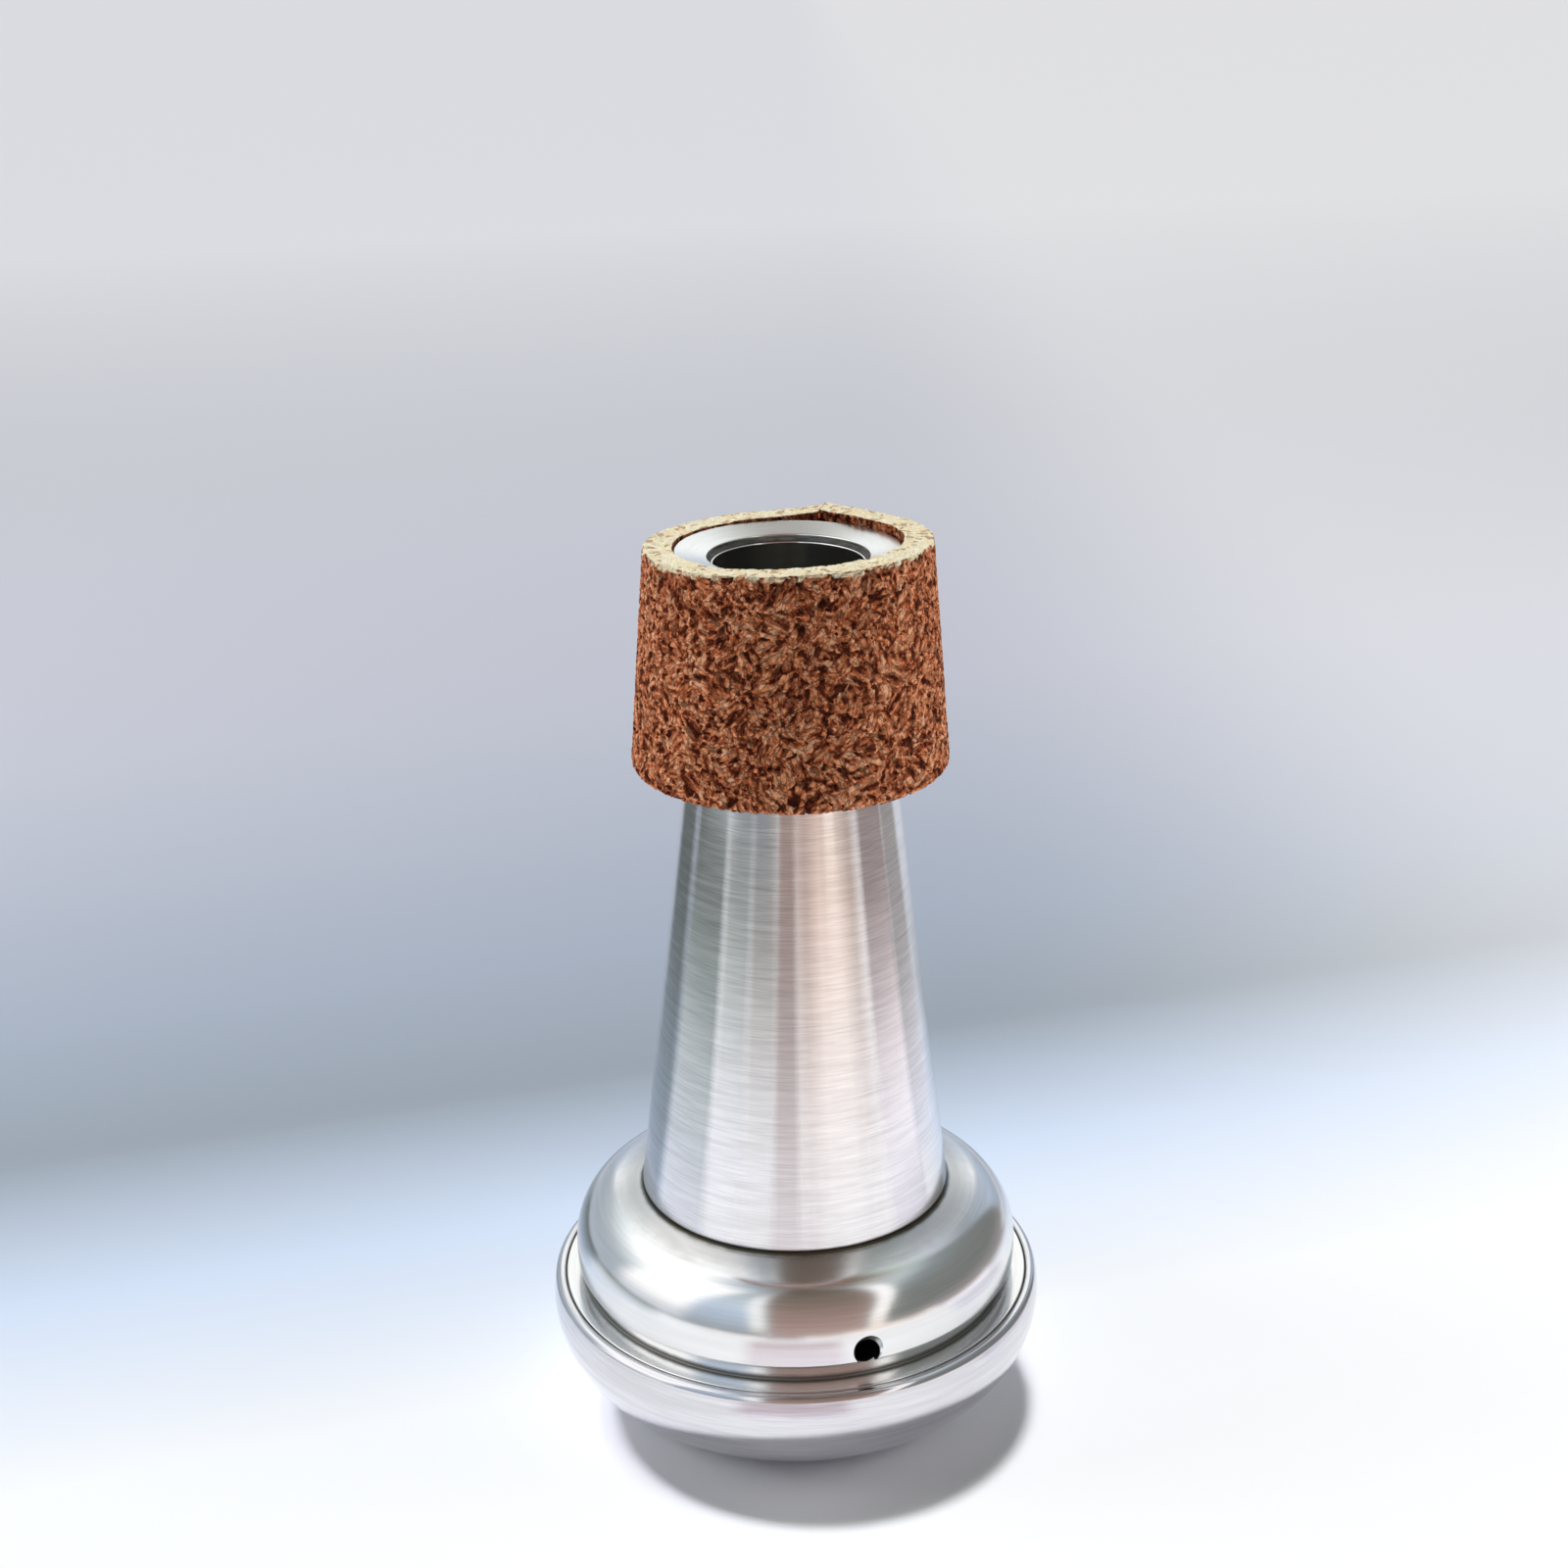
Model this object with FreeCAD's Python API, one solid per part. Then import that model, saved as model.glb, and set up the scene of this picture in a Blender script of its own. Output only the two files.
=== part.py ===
import FreeCAD, Part
import math
import os

# A clarinet mute that stands on its wide end.
# Z points up and the origin is the centre of the flat foot.
# Y points away from the front, where the vent hole is seen, and X to the right.
# Lengths are in millimetres and angles in degrees.

# Bowl that forms the foot of the mute
bowl_corner_radius = 10.95
bowl_wall = 1.2
rim_lift = 2.7
rim_width = 1.45
rim_round = 0.8
rim_edge_break = 0.12
seat_width = 0.9
seat_height = 1.0
seat_slope_height = 0.8

# Shoulder dome with its turned-out flange
dome_wall = 0.8
shoulder_width = 8.35
shoulder_arc_radius = 6.55
straight_wall_height = 2.55
crown_slope = 15.0
dome_edge_round = 0.5
groove_depth = 0.95
groove_height = 1.95
ledge_width = 1.6
flange_thickness = 0.8
flange_edge_break = 0.12
rim_joint_width = 0.15
rim_joint_recess = 0.22
cove_radius = 0.5
spigot_length = 4.0

# Vent hole in the lower wall of the dome
vent_radius = 1.5
vent_rise = 1.35
vent_azimuth = 17.5
vent_tilt = 12.0
vent_chamfer = 0.3
vent_reach = 4.0

# Cone that carries the air from the mouth to the dome
crease_radius = 18.6
cone_length = 77.08
cone_wall = 0.8
mouth_outer_radius = 9.2
cone_joint_thickness = 0.16
cone_joint_recess = 0.1
slip_gap = 0.05

# Head sleeve and end plate under the cork
head_step = 3.66
head_spread = 1.87
head_length = 23.4
sleeve_wall = 0.8
sleeve_corner_round = 0.5
plate_thickness = 0.7
plate_dish = 0.8
plate_lap = 0.1
mouth_joint_width = 0.5
mouth_joint_thickness = 0.3
lip_joint_width = 0.6

# Cork collar, a sheet wrapped round the sleeve with a pointed butt seam
cork_thickness = 3.4
cement_thickness = 0.15
cork_drop = 0.2
cork_rise = 1.7
cork_rise_to_right = 1.6
cork_fall_to_back = 1.0
cork_edge_bevel = 0.5
seam_azimuth = 14.0
seam_bend = 29.0
seam_gap = 0.12

# Cutters reach this far past what they cut
overrun = 3.0

# Radii that follow from the crease outwards
dome_radius = crease_radius + shoulder_width
groove_radius = dome_radius - groove_depth
rim_land_radius = dome_radius + ledge_width
flange_radius = rim_land_radius - rim_joint_width
belly_radius = rim_land_radius + rim_width
foot_radius = belly_radius - bowl_corner_radius

# Heights that follow from the foot up to the crease
rim_height = bowl_corner_radius + rim_lift
flange_top = rim_height
flange_bottom = flange_top - flange_thickness
dome_edge_height = flange_top + groove_height
shoulder_arc_height = dome_edge_height + straight_wall_height
vent_height = dome_edge_height + vent_rise


def at(radius, height):
    """Point of a turned outline."""
    return FreeCAD.Vector(radius, 0, height)


def on_circle(centre, radius, angle):
    """Point of an outline on a circle, with the angle counted up from the outward direction."""
    turn = math.radians(angle)
    return centre + at(radius * math.cos(turn), radius * math.sin(turn))


shoulder_centre = at(dome_radius - shoulder_arc_radius, shoulder_arc_height)


def crown_height(radius, arc_radius):
    """Height at a radius of the crown line that leaves a shoulder arc at the crown's slope."""
    touch = on_circle(shoulder_centre, arc_radius, 90 - crown_slope)
    return touch.z + math.tan(math.radians(crown_slope)) * (touch.x - radius)


# Heights that follow from the crown up to the top of the cork
cove_foot = crown_height(crease_radius + cove_radius, shoulder_arc_radius)
cone_seat_height = cove_foot + cove_radius
crease_height = cone_seat_height + cone_joint_thickness
mouth_height = crease_height + cone_length
head_top_height = mouth_height + plate_dish
sleeve_bottom_height = mouth_height - head_length
cork_bottom_height = sleeve_bottom_height - cork_drop
cork_top_height = mouth_height + plate_thickness + cork_rise

# Radii and slopes of the cone and the head
cone_slope = (crease_radius - mouth_outer_radius) / cone_length
cone_wall_across = cone_wall * math.sqrt(1 + cone_slope ** 2)
plate_hole_radius = mouth_outer_radius - plate_lap
sleeve_top_radius = mouth_outer_radius + head_step
sleeve_bottom_radius = sleeve_top_radius + head_spread
sleeve_slope = head_spread / head_length


def cone_outer(height):
    """Outer radius of the cone at a height."""
    return crease_radius - cone_slope * (height - crease_height)


def cone_inner(height):
    """Inner radius of the cone at a height."""
    return cone_outer(height) - cone_wall_across


def sleeve_outer(height):
    """Outer radius of the head sleeve at a height."""
    return sleeve_top_radius + sleeve_slope * (mouth_height - height)


def line(start, end):
    """Straight edge of an outline."""
    return Part.LineSegment(start, end).toShape()


def arc(centre, radius, first_angle, last_angle):
    """Round edge of an outline between two angles of a circle."""
    start = on_circle(centre, radius, first_angle)
    middle = on_circle(centre, radius, (first_angle + last_angle) / 2)
    end = on_circle(centre, radius, last_angle)
    return Part.Arc(start, middle, end).toShape()


def polyline(points):
    """Straight edges through a row of points."""
    return [line(a, b) for a, b in zip(points, points[1:])]


def turned(edges):
    """Solid that a closed outline sweeps round the Z axis."""
    face = Part.Face(Part.Wire(edges))
    return face.revolve(FreeCAD.Vector(0, 0, 0), FreeCAD.Vector(0, 0, 1), 360)


def turned_polygon(points):
    """Solid that a closed polygon sweeps round the Z axis."""
    return turned(polyline(points + points[:1]))


def bowl_height_angle(radius, height):
    """Angle on the bowl's corner arc of a given radius at which it reaches a height."""
    return math.degrees(math.asin((height - bowl_corner_radius) / radius))


def base_cup():
    """Turned bowl with a flat foot, a rounded corner and a rebated rim."""
    centre = at(foot_radius, bowl_corner_radius)
    inner_radius = bowl_corner_radius - bowl_wall
    round_centre_height = rim_height - rim_round
    reach = bowl_corner_radius - rim_round
    round_angle = bowl_height_angle(reach, round_centre_height)
    round_centre = on_circle(centre, reach, round_angle)
    seat_radius = rim_land_radius - seat_width
    seat_foot = flange_bottom - seat_height
    blend_angle = bowl_height_angle(inner_radius, seat_foot - seat_slope_height)
    outer_corner = arc(centre, bowl_corner_radius, -90, round_angle)
    rim_corner = arc(round_centre, rim_round, round_angle, 90)
    inner_corner = arc(centre, inner_radius, blend_angle, -90)
    rim = polyline([
        at(round_centre.x, rim_height),
        at(rim_land_radius + rim_edge_break, rim_height),
        at(rim_land_radius, rim_height - rim_edge_break),
        at(rim_land_radius, flange_bottom),
        at(seat_radius, flange_bottom),
        at(seat_radius, seat_foot),
        on_circle(centre, inner_radius, blend_angle),
    ])
    floor = polyline([
        at(foot_radius, bowl_wall),
        at(0, bowl_wall),
        at(0, 0),
        at(foot_radius, 0),
    ])
    return turned([outer_corner, rim_corner] + rim + [inner_corner] + floor)


def dome_blank():
    """Turned shoulder with cove, crown, rounded shoulder, groove and flange."""
    inner_arc = shoulder_arc_radius - dome_wall
    crown_angle = 90 - crown_slope
    cove_centre = at(crease_radius + cove_radius, cone_seat_height)
    cove_end_angle = 270 - crown_slope
    spigot_top = cone_seat_height + spigot_length
    spigot_inner = cone_inner(crease_height) - slip_gap - dome_wall
    edge_centre = at(dome_radius - dome_edge_round, dome_edge_height + dome_edge_round)
    inner_wall_radius = dome_radius - dome_wall
    inner_groove_radius = groove_radius - dome_wall
    outside = polyline([
        at(cone_inner(cone_seat_height) - slip_gap, cone_seat_height),
        at(crease_radius, cone_seat_height),
    ])
    outside += [arc(cove_centre, cove_radius, 180, cove_end_angle)]
    outside += polyline([
        on_circle(cove_centre, cove_radius, cove_end_angle),
        on_circle(shoulder_centre, shoulder_arc_radius, crown_angle),
    ])
    outside += [arc(shoulder_centre, shoulder_arc_radius, crown_angle, 0)]
    outside += polyline([at(dome_radius, shoulder_arc_height), at(dome_radius, edge_centre.z)])
    outside += [arc(edge_centre, dome_edge_round, 0, -90)]
    flange = polyline([
        at(edge_centre.x, dome_edge_height),
        at(groove_radius, dome_edge_height),
        at(groove_radius, flange_top),
        at(flange_radius - flange_edge_break, flange_top),
        at(flange_radius, flange_top - flange_edge_break),
        at(flange_radius, flange_bottom),
        at(inner_groove_radius, flange_bottom),
        at(inner_groove_radius, dome_edge_height),
        at(inner_wall_radius, dome_edge_height + dome_wall),
        at(inner_wall_radius, shoulder_arc_height),
    ])
    inside = [arc(shoulder_centre, inner_arc, 0, crown_angle)]
    inside += polyline([
        on_circle(shoulder_centre, inner_arc, crown_angle),
        at(spigot_inner, crown_height(spigot_inner, inner_arc)),
        at(cone_inner(spigot_top) - slip_gap - dome_wall, spigot_top),
        at(cone_inner(spigot_top) - slip_gap, spigot_top),
        at(cone_inner(cone_seat_height) - slip_gap, cone_seat_height),
    ])
    return turned(outside + flange + inside)


def vent_cutter():
    """Drill and countersink of the vent, square to the dome's wall."""
    tilt = math.radians(vent_tilt)
    turn = math.radians(vent_azimuth)
    level = math.cos(tilt)
    outward = FreeCAD.Vector(level * math.sin(turn), -level * math.cos(turn), math.sin(tilt))
    on_wall = FreeCAD.Vector(dome_radius * math.sin(turn), -dome_radius * math.cos(turn), vent_height)
    drill_start = on_wall - outward * vent_reach
    drill = Part.makeCylinder(vent_radius, vent_reach + overrun, drill_start, outward)
    sink_start = on_wall - outward * vent_chamfer
    sink_end_radius = vent_radius + vent_chamfer + overrun
    sink = Part.makeCone(vent_radius, sink_end_radius, vent_chamfer + overrun, sink_start, outward)
    return drill.fuse(sink)


def dome_shell():
    """Shoulder dome with its vent hole."""
    return dome_blank().cut(vent_cutter())


def cone_shell():
    """Tapered tube from the crease up to the mouth."""
    return turned_polygon([
        at(crease_radius, crease_height),
        at(mouth_outer_radius, mouth_height),
        at(cone_inner(mouth_height), mouth_height),
        at(cone_inner(crease_height), crease_height),
    ])


def cone_joint_bead():
    """Joint compound between the end of the cone and the dome's neck."""
    bottom = cone_seat_height
    outer = crease_radius - cone_joint_recess
    return turned_polygon([
        at(cone_inner(crease_height), bottom),
        at(outer, bottom),
        at(outer, crease_height),
        at(cone_inner(crease_height), crease_height),
    ])


def rim_joint_bead():
    """Joint compound between the dome's flange and the cup's rim."""
    top = rim_height - rim_joint_recess
    return turned_polygon([
        at(flange_radius, flange_bottom),
        at(rim_land_radius, flange_bottom),
        at(rim_land_radius, top),
        at(flange_radius, top),
    ])


def head_sleeve():
    """Tapered sleeve under the cork, with a lip turned in to the cone."""
    lip_top = sleeve_bottom_height + sleeve_wall
    lip_radius = cone_outer(sleeve_bottom_height) + slip_gap
    corner_height = sleeve_bottom_height + sleeve_corner_round
    side_foot = at(sleeve_outer(corner_height), corner_height)
    corner = side_foot - at(sleeve_corner_round, 0)
    walls = polyline([
        side_foot,
        at(sleeve_outer(head_top_height), head_top_height),
        at(sleeve_outer(head_top_height) - sleeve_wall, head_top_height),
        at(sleeve_outer(lip_top) - sleeve_wall, lip_top),
        at(lip_radius, lip_top),
        at(lip_radius, sleeve_bottom_height),
        at(corner.x, sleeve_bottom_height),
    ])
    return turned(walls + [arc(corner, sleeve_corner_round, -90, 0)])


def sleeve_lip_bead():
    """Fillet of joint compound between the sleeve's lip and the cone."""
    base = sleeve_bottom_height + sleeve_wall
    return turned_polygon([
        at(cone_outer(base), base),
        at(cone_outer(base) + slip_gap + lip_joint_width, base),
        at(cone_outer(base + lip_joint_width), base + lip_joint_width),
    ])


def end_plate():
    """Ring that closes the head between the sleeve and the mouth, dished down to the mouth."""
    edge = sleeve_outer(head_top_height)
    return turned_polygon([
        at(plate_hole_radius, mouth_height),
        at(mouth_outer_radius, mouth_height),
        at(edge - sleeve_wall, head_top_height),
        at(edge, head_top_height),
        at(edge, head_top_height + plate_thickness),
        at(plate_hole_radius, mouth_height + plate_thickness),
    ])


def mouth_bead():
    """Dark ring of joint compound in the corner of the plate's hole and the cone's end."""
    top = mouth_height + mouth_joint_thickness
    inner = plate_hole_radius - mouth_joint_width
    return turned_polygon([
        at(inner, mouth_height),
        at(plate_hole_radius, mouth_height),
        at(plate_hole_radius, top),
        at(inner, top),
    ])


def wrapped_outline(radius, height):
    """Loop of a bent sheet: a circle whose back runs straight to a point at the seam."""
    seam = math.radians(90 - seam_azimuth)
    bend = math.radians(seam_bend)

    def place(distance, angle):
        return FreeCAD.Vector(distance * math.cos(angle), distance * math.sin(angle), height)

    left = place(radius, seam + bend)
    right = place(radius, seam - bend)
    front = place(radius, seam + math.pi)
    peak = place(radius / math.cos(bend), seam)
    ring = Part.Arc(left, front, right).toShape()
    return Part.Wire([ring, line(right, peak), line(peak, left)])


def wrapped_block(low, low_offset, high, high_offset):
    """Solid between two heights, as wide as the sleeve plus an offset, with the seam's point."""
    ends = [(low, low_offset), (high, high_offset)]
    wires = [wrapped_outline(sleeve_outer(height) + offset, height) for height, offset in ends]
    return Part.makeLoft(wires, True, True)


def above_cork_top():
    """Block over the top face of the cork, which climbs to the right and falls to the back."""
    side = sleeve_bottom_radius + cork_thickness + overrun
    height = side + overrun
    block = Part.makeBox(2 * side, 2 * side, height, FreeCAD.Vector(-side, -side, cork_top_height))
    pivot = FreeCAD.Vector(0, 0, cork_top_height)
    block.rotate(pivot, FreeCAD.Vector(0, 1, 0), -cork_rise_to_right)
    block.rotate(pivot, FreeCAD.Vector(1, 0, 0), -cork_fall_to_back)
    return block


def seam_cutter():
    """Thin upright slice through the sheet where its two ends meet."""
    reach = (sleeve_bottom_radius + cork_thickness) / math.cos(math.radians(seam_bend)) + overrun
    tall = cork_top_height - cork_bottom_height + 2 * overrun
    corner = FreeCAD.Vector(0, -seam_gap / 2, cork_bottom_height - overrun)
    cutter = Part.makeBox(reach, seam_gap, tall, corner)
    cutter.rotate(FreeCAD.Vector(0, 0, 0), FreeCAD.Vector(0, 0, 1), 90 - seam_azimuth)
    return cutter


def cork_collar():
    """Cork sheet bent round the sleeve, its ends meeting in a point at the back."""
    full = cement_thickness + cork_thickness
    high = cork_top_height + overrun
    bevel_top = cork_bottom_height + cork_edge_bevel
    bevel = wrapped_block(cork_bottom_height, full - cork_edge_bevel, bevel_top, full)
    outer = bevel.fuse(wrapped_block(bevel_top, full, high, full))
    inner = wrapped_block(cork_bottom_height - overrun, cement_thickness, high + overrun, cement_thickness)
    return outer.cut(inner).cut(above_cork_top()).cut(seam_cutter())


def cork_cement():
    """Film of cement that fills the space between the sleeve and the round of the cork."""
    low = sleeve_bottom_height + sleeve_corner_round
    high = head_top_height
    return turned_polygon([
        at(sleeve_outer(low), low),
        at(sleeve_outer(low) + cement_thickness, low),
        at(sleeve_outer(high) + cement_thickness, high),
        at(sleeve_outer(high), high),
    ])


pieces = {
    "base_cup": base_cup,
    "rim_joint_bead": rim_joint_bead,
    "dome_shell": dome_shell,
    "cone_joint_bead": cone_joint_bead,
    "cone_shell": cone_shell,
    "head_sleeve": head_sleeve,
    "sleeve_lip_bead": sleeve_lip_bead,
    "end_plate": end_plate,
    "mouth_bead": mouth_bead,
    "cork_cement": cork_cement,
    "cork_collar": cork_collar,
}

os.makedirs("parts", exist_ok=True)
for name, make in pieces.items():
    shape = make()
    print(name, "solids", len(shape.Solids), "valid", shape.isValid(), "volume", round(shape.Volume, 2))
    shape.exportStep("parts/" + name + ".step")
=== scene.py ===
"""Looks of the clarinet mute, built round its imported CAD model.

Sizes are in millimetres and angles in degrees, and every mesh is written in metres. Azimuths
are counted from the front, where the vent is seen, towards the right.
"""

import logging
import math
from dataclasses import dataclass
from enum import Enum
from typing import Mapping, Optional, Sequence, Union

import bmesh
import bpy
import numpy as np
from mathutils import Matrix


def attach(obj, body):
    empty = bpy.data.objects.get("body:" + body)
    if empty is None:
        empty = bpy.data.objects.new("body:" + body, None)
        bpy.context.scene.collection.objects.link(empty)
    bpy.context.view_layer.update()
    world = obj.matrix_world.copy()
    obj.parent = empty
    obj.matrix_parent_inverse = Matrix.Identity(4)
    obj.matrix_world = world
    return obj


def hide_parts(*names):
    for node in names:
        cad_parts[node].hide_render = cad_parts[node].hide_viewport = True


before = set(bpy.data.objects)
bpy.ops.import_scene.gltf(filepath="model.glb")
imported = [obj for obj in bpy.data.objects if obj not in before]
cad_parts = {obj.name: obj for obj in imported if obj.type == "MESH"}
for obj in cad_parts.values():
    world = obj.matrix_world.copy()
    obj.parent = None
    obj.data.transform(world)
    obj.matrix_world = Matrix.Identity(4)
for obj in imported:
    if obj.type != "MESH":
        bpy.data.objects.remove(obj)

LOG = logging.getLogger("clarinet_mute")
MM = 0.001
HALF = (0.5, 0.5, 0.5)
Array = np.ndarray
Point = tuple[float, float]
Colour = tuple[float, float, float]
Stops = Sequence[tuple[float, float, float, float]]


class Body(Enum):
    """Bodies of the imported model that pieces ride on."""

    ROOT = "root"


class Slot(Enum):
    """The record's slots, which the turned parts name."""

    CUP = "brushed_cup"
    DOME = "polished_dome"
    CONE = "brushed_cone"
    PLATE = "bright_plate"
    COMPOUND = "joint_compound"
    CORK = "cork"


# Shader maths


class Wire:
    """An output socket that adds Math nodes when it is used in an expression."""

    def __init__(self, bench: "Bench", socket: bpy.types.NodeSocket) -> None:
        """Keeps the socket and the bench that gets the new nodes."""
        self.bench, self.socket = bench, socket

    def _math(self, operation: str, first: "Value", second: "Value") -> "Wire":
        """Output of one Math node of two values."""
        return self.bench.out("ShaderNodeMath", 0, {"operation": operation}, {0: first, 1: second})

    def __add__(self, other: "Value") -> "Wire":
        """Sum."""
        return self._math("ADD", self, other)

    def __sub__(self, other: "Value") -> "Wire":
        """Difference."""
        return self._math("SUBTRACT", self, other)

    def __rsub__(self, other: "Value") -> "Wire":
        """Difference from a value on the left."""
        return self._math("SUBTRACT", other, self)

    def __mul__(self, other: "Value") -> "Wire":
        """Product."""
        return self._math("MULTIPLY", self, other)

    def __truediv__(self, other: "Value") -> "Wire":
        """Quotient."""
        return self._math("DIVIDE", self, other)

    def __pow__(self, other: "Value") -> "Wire":
        """Power."""
        return self._math("POWER", self, other)

    __radd__ = __add__
    __rmul__ = __mul__

    def step(self, low: float, high: float) -> "Wire":
        """S curve from 0 to 1, or its reverse where high is less than low.

        Args:
            low: Value at which it leaves 0.
            high: Value at which it reaches 1.

        Returns:
            The curve's value.
        """
        ends = {1: low, 2: high, 3: 0.0, 4: 1.0} if low <= high else {1: high, 2: low, 3: 1.0, 4: 0.0}
        settings = {"interpolation_type": "SMOOTHSTEP"}
        return self.bench.out("ShaderNodeMapRange", 0, settings, {0: self, **ends})


Value = Union[Wire, float]
Content = Union[Wire, float, Sequence[float]]
Settings = Optional[Mapping[str, object]]
Sockets = Optional[Mapping[Union[str, int], Content]]


class Bench:
    """Adds and joins the nodes of one shader tree."""

    def __init__(self, tree: bpy.types.NodeTree) -> None:
        """Empties a tree for new nodes."""
        self.tree = tree
        tree.nodes.clear()

    def node(self, kind: str, settings: Settings = None, sockets: Sockets = None) -> bpy.types.Node:
        """Adds a node.

        Args:
            kind: Blender's name of the node type.
            settings: Properties of the node; "stops" gives a ramp's rows of place and colour.
            sockets: Values or links of input sockets, by name or number.

        Returns:
            The node.
        """
        made = self.tree.nodes.new(kind)
        for name, value in (settings or {}).items():
            if name == "stops":
                self._set_stops(made.color_ramp, value)
            else:
                setattr(made, name, value)
        for key, value in (sockets or {}).items():
            if isinstance(value, Wire):
                self.tree.links.new(value.socket, made.inputs[key])
            else:
                made.inputs[key].default_value = value
        return made

    def out(
        self, kind: str, output: Union[str, int], settings: Settings = None, sockets: Sockets = None
    ) -> Wire:
        """Adds a node and gives the output of that name or number."""
        return Wire(self, self.node(kind, settings, sockets).outputs[output])

    @staticmethod
    def _set_stops(ramp: bpy.types.ColorRamp, stops: Stops) -> None:
        """Sets the stops of a colour ramp.

        Args:
            ramp: The ramp.
            stops: Rows of place and colour, in rising order.
        """
        while len(ramp.elements) < len(stops):
            ramp.elements.new(1.0)
        for element, (place, *colour) in zip(ramp.elements, stops):
            element.position, element.color = place, (*colour, 1.0)

    def ramp(self, factor: Wire, stops: Stops) -> Wire:
        """Colour of a ramp where the factor reads it."""
        return self.out("ShaderNodeValToRGB", "Color", {"stops": stops}, {0: factor})

    def blend(self, share: Value, first: Content, second: Content) -> Wire:
        """Mix of two colours, each a wire or three numbers, by the share of the second."""
        low, high = (end if isinstance(end, Wire) else (*end, 1.0) for end in (first, second))
        return self.out("ShaderNodeMix", 2, {"data_type": "RGBA"}, {0: share, 6: low, 7: high})

    def vector(self, operation: str, first: Content, second: Content = (0.0, 0.0, 0.0)) -> Wire:
        """Vector Math with a vector result."""
        return self.out("ShaderNodeVectorMath", 0, {"operation": operation}, {0: first, 1: second})

    def scaled(self, vector: Wire, scale: Value) -> Wire:
        """Vector times a number."""
        return self.out("ShaderNodeVectorMath", 0, {"operation": "SCALE"}, {0: vector, 3: scale})

    def dot(self, first: Wire, second: Wire) -> Wire:
        """Dot product of two vectors."""
        return self.out("ShaderNodeVectorMath", 1, {"operation": "DOT_PRODUCT"}, {0: first, 1: second})

    def place(self) -> Wire:
        """Object coordinates, in millimetres."""
        return self.scaled(self.out("ShaderNodeTexCoord", "Object"), 1 / MM)

    def split(self, vector: Wire) -> list[Wire]:
        """The three parts of a vector."""
        return [Wire(self, part) for part in self.node("ShaderNodeSeparateXYZ", None, {0: vector}).outputs]

    def joined(self, x: Value, y: Value, z: Value) -> Wire:
        """Vector of three numbers."""
        return self.out("ShaderNodeCombineXYZ", 0, None, {0: x, 1: y, 2: z})

    def noise(self, vector: Wire, scale: float, detail: float = 2.0, rough: float = 0.5) -> Wire:
        """Noise from 0 to 1, by its features per unit, its octaves and the finer ones' strength."""
        sockets = {"Vector": vector, "Scale": scale, "Detail": detail, "Roughness": rough}
        return self.out("ShaderNodeTexNoise", 0, None, sockets)

    def shaken(self, place: Wire, scale: float, detail: float, reach: float) -> Wire:
        """Coordinates moved about by noise.

        Args:
            place: The coordinates.
            scale: Features of the noise per unit.
            detail: Its octaves.
            reach: Length of a move by 1.

        Returns:
            place + reach (noise - 0.5).
        """
        sockets = {"Vector": place, "Scale": scale, "Detail": detail}
        noise = self.out("ShaderNodeTexNoise", "Color", None, sockets)
        return self.vector("ADD", place, self.scaled(self.vector("SUBTRACT", noise, HALF), reach))

    def attribute(self, name: str) -> Wire:
        """Number stored on the mesh's points."""
        return self.out("ShaderNodeAttribute", "Fac", {"attribute_name": name})

    def bump(self, height: Wire, distance: float) -> Wire:
        """Normal bent by a height, of which 1 stands for the distance."""
        return self.out("ShaderNodeBump", 0, None, {"Height": height, "Distance": distance * MM})

    def surface(self, shader: Wire, kind: str = "ShaderNodeOutputMaterial") -> None:
        """Joins a shader to the tree's output."""
        self.node(kind, None, {"Surface": shader})

    def principled(self, sockets: Mapping[str, Content]) -> None:
        """Ends the tree with a Principled shader."""
        self.surface(self.out("ShaderNodeBsdfPrincipled", 0, None, sockets))


def new_material(name: str) -> tuple[bpy.types.Material, Bench]:
    """An empty node material.

    Args:
        name: Name of the material.

    Returns:
        The material and the bench of its tree.
    """
    material = bpy.data.materials.new(name)
    material.use_nodes = True
    return material, Bench(material.node_tree)


# Finishes


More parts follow.
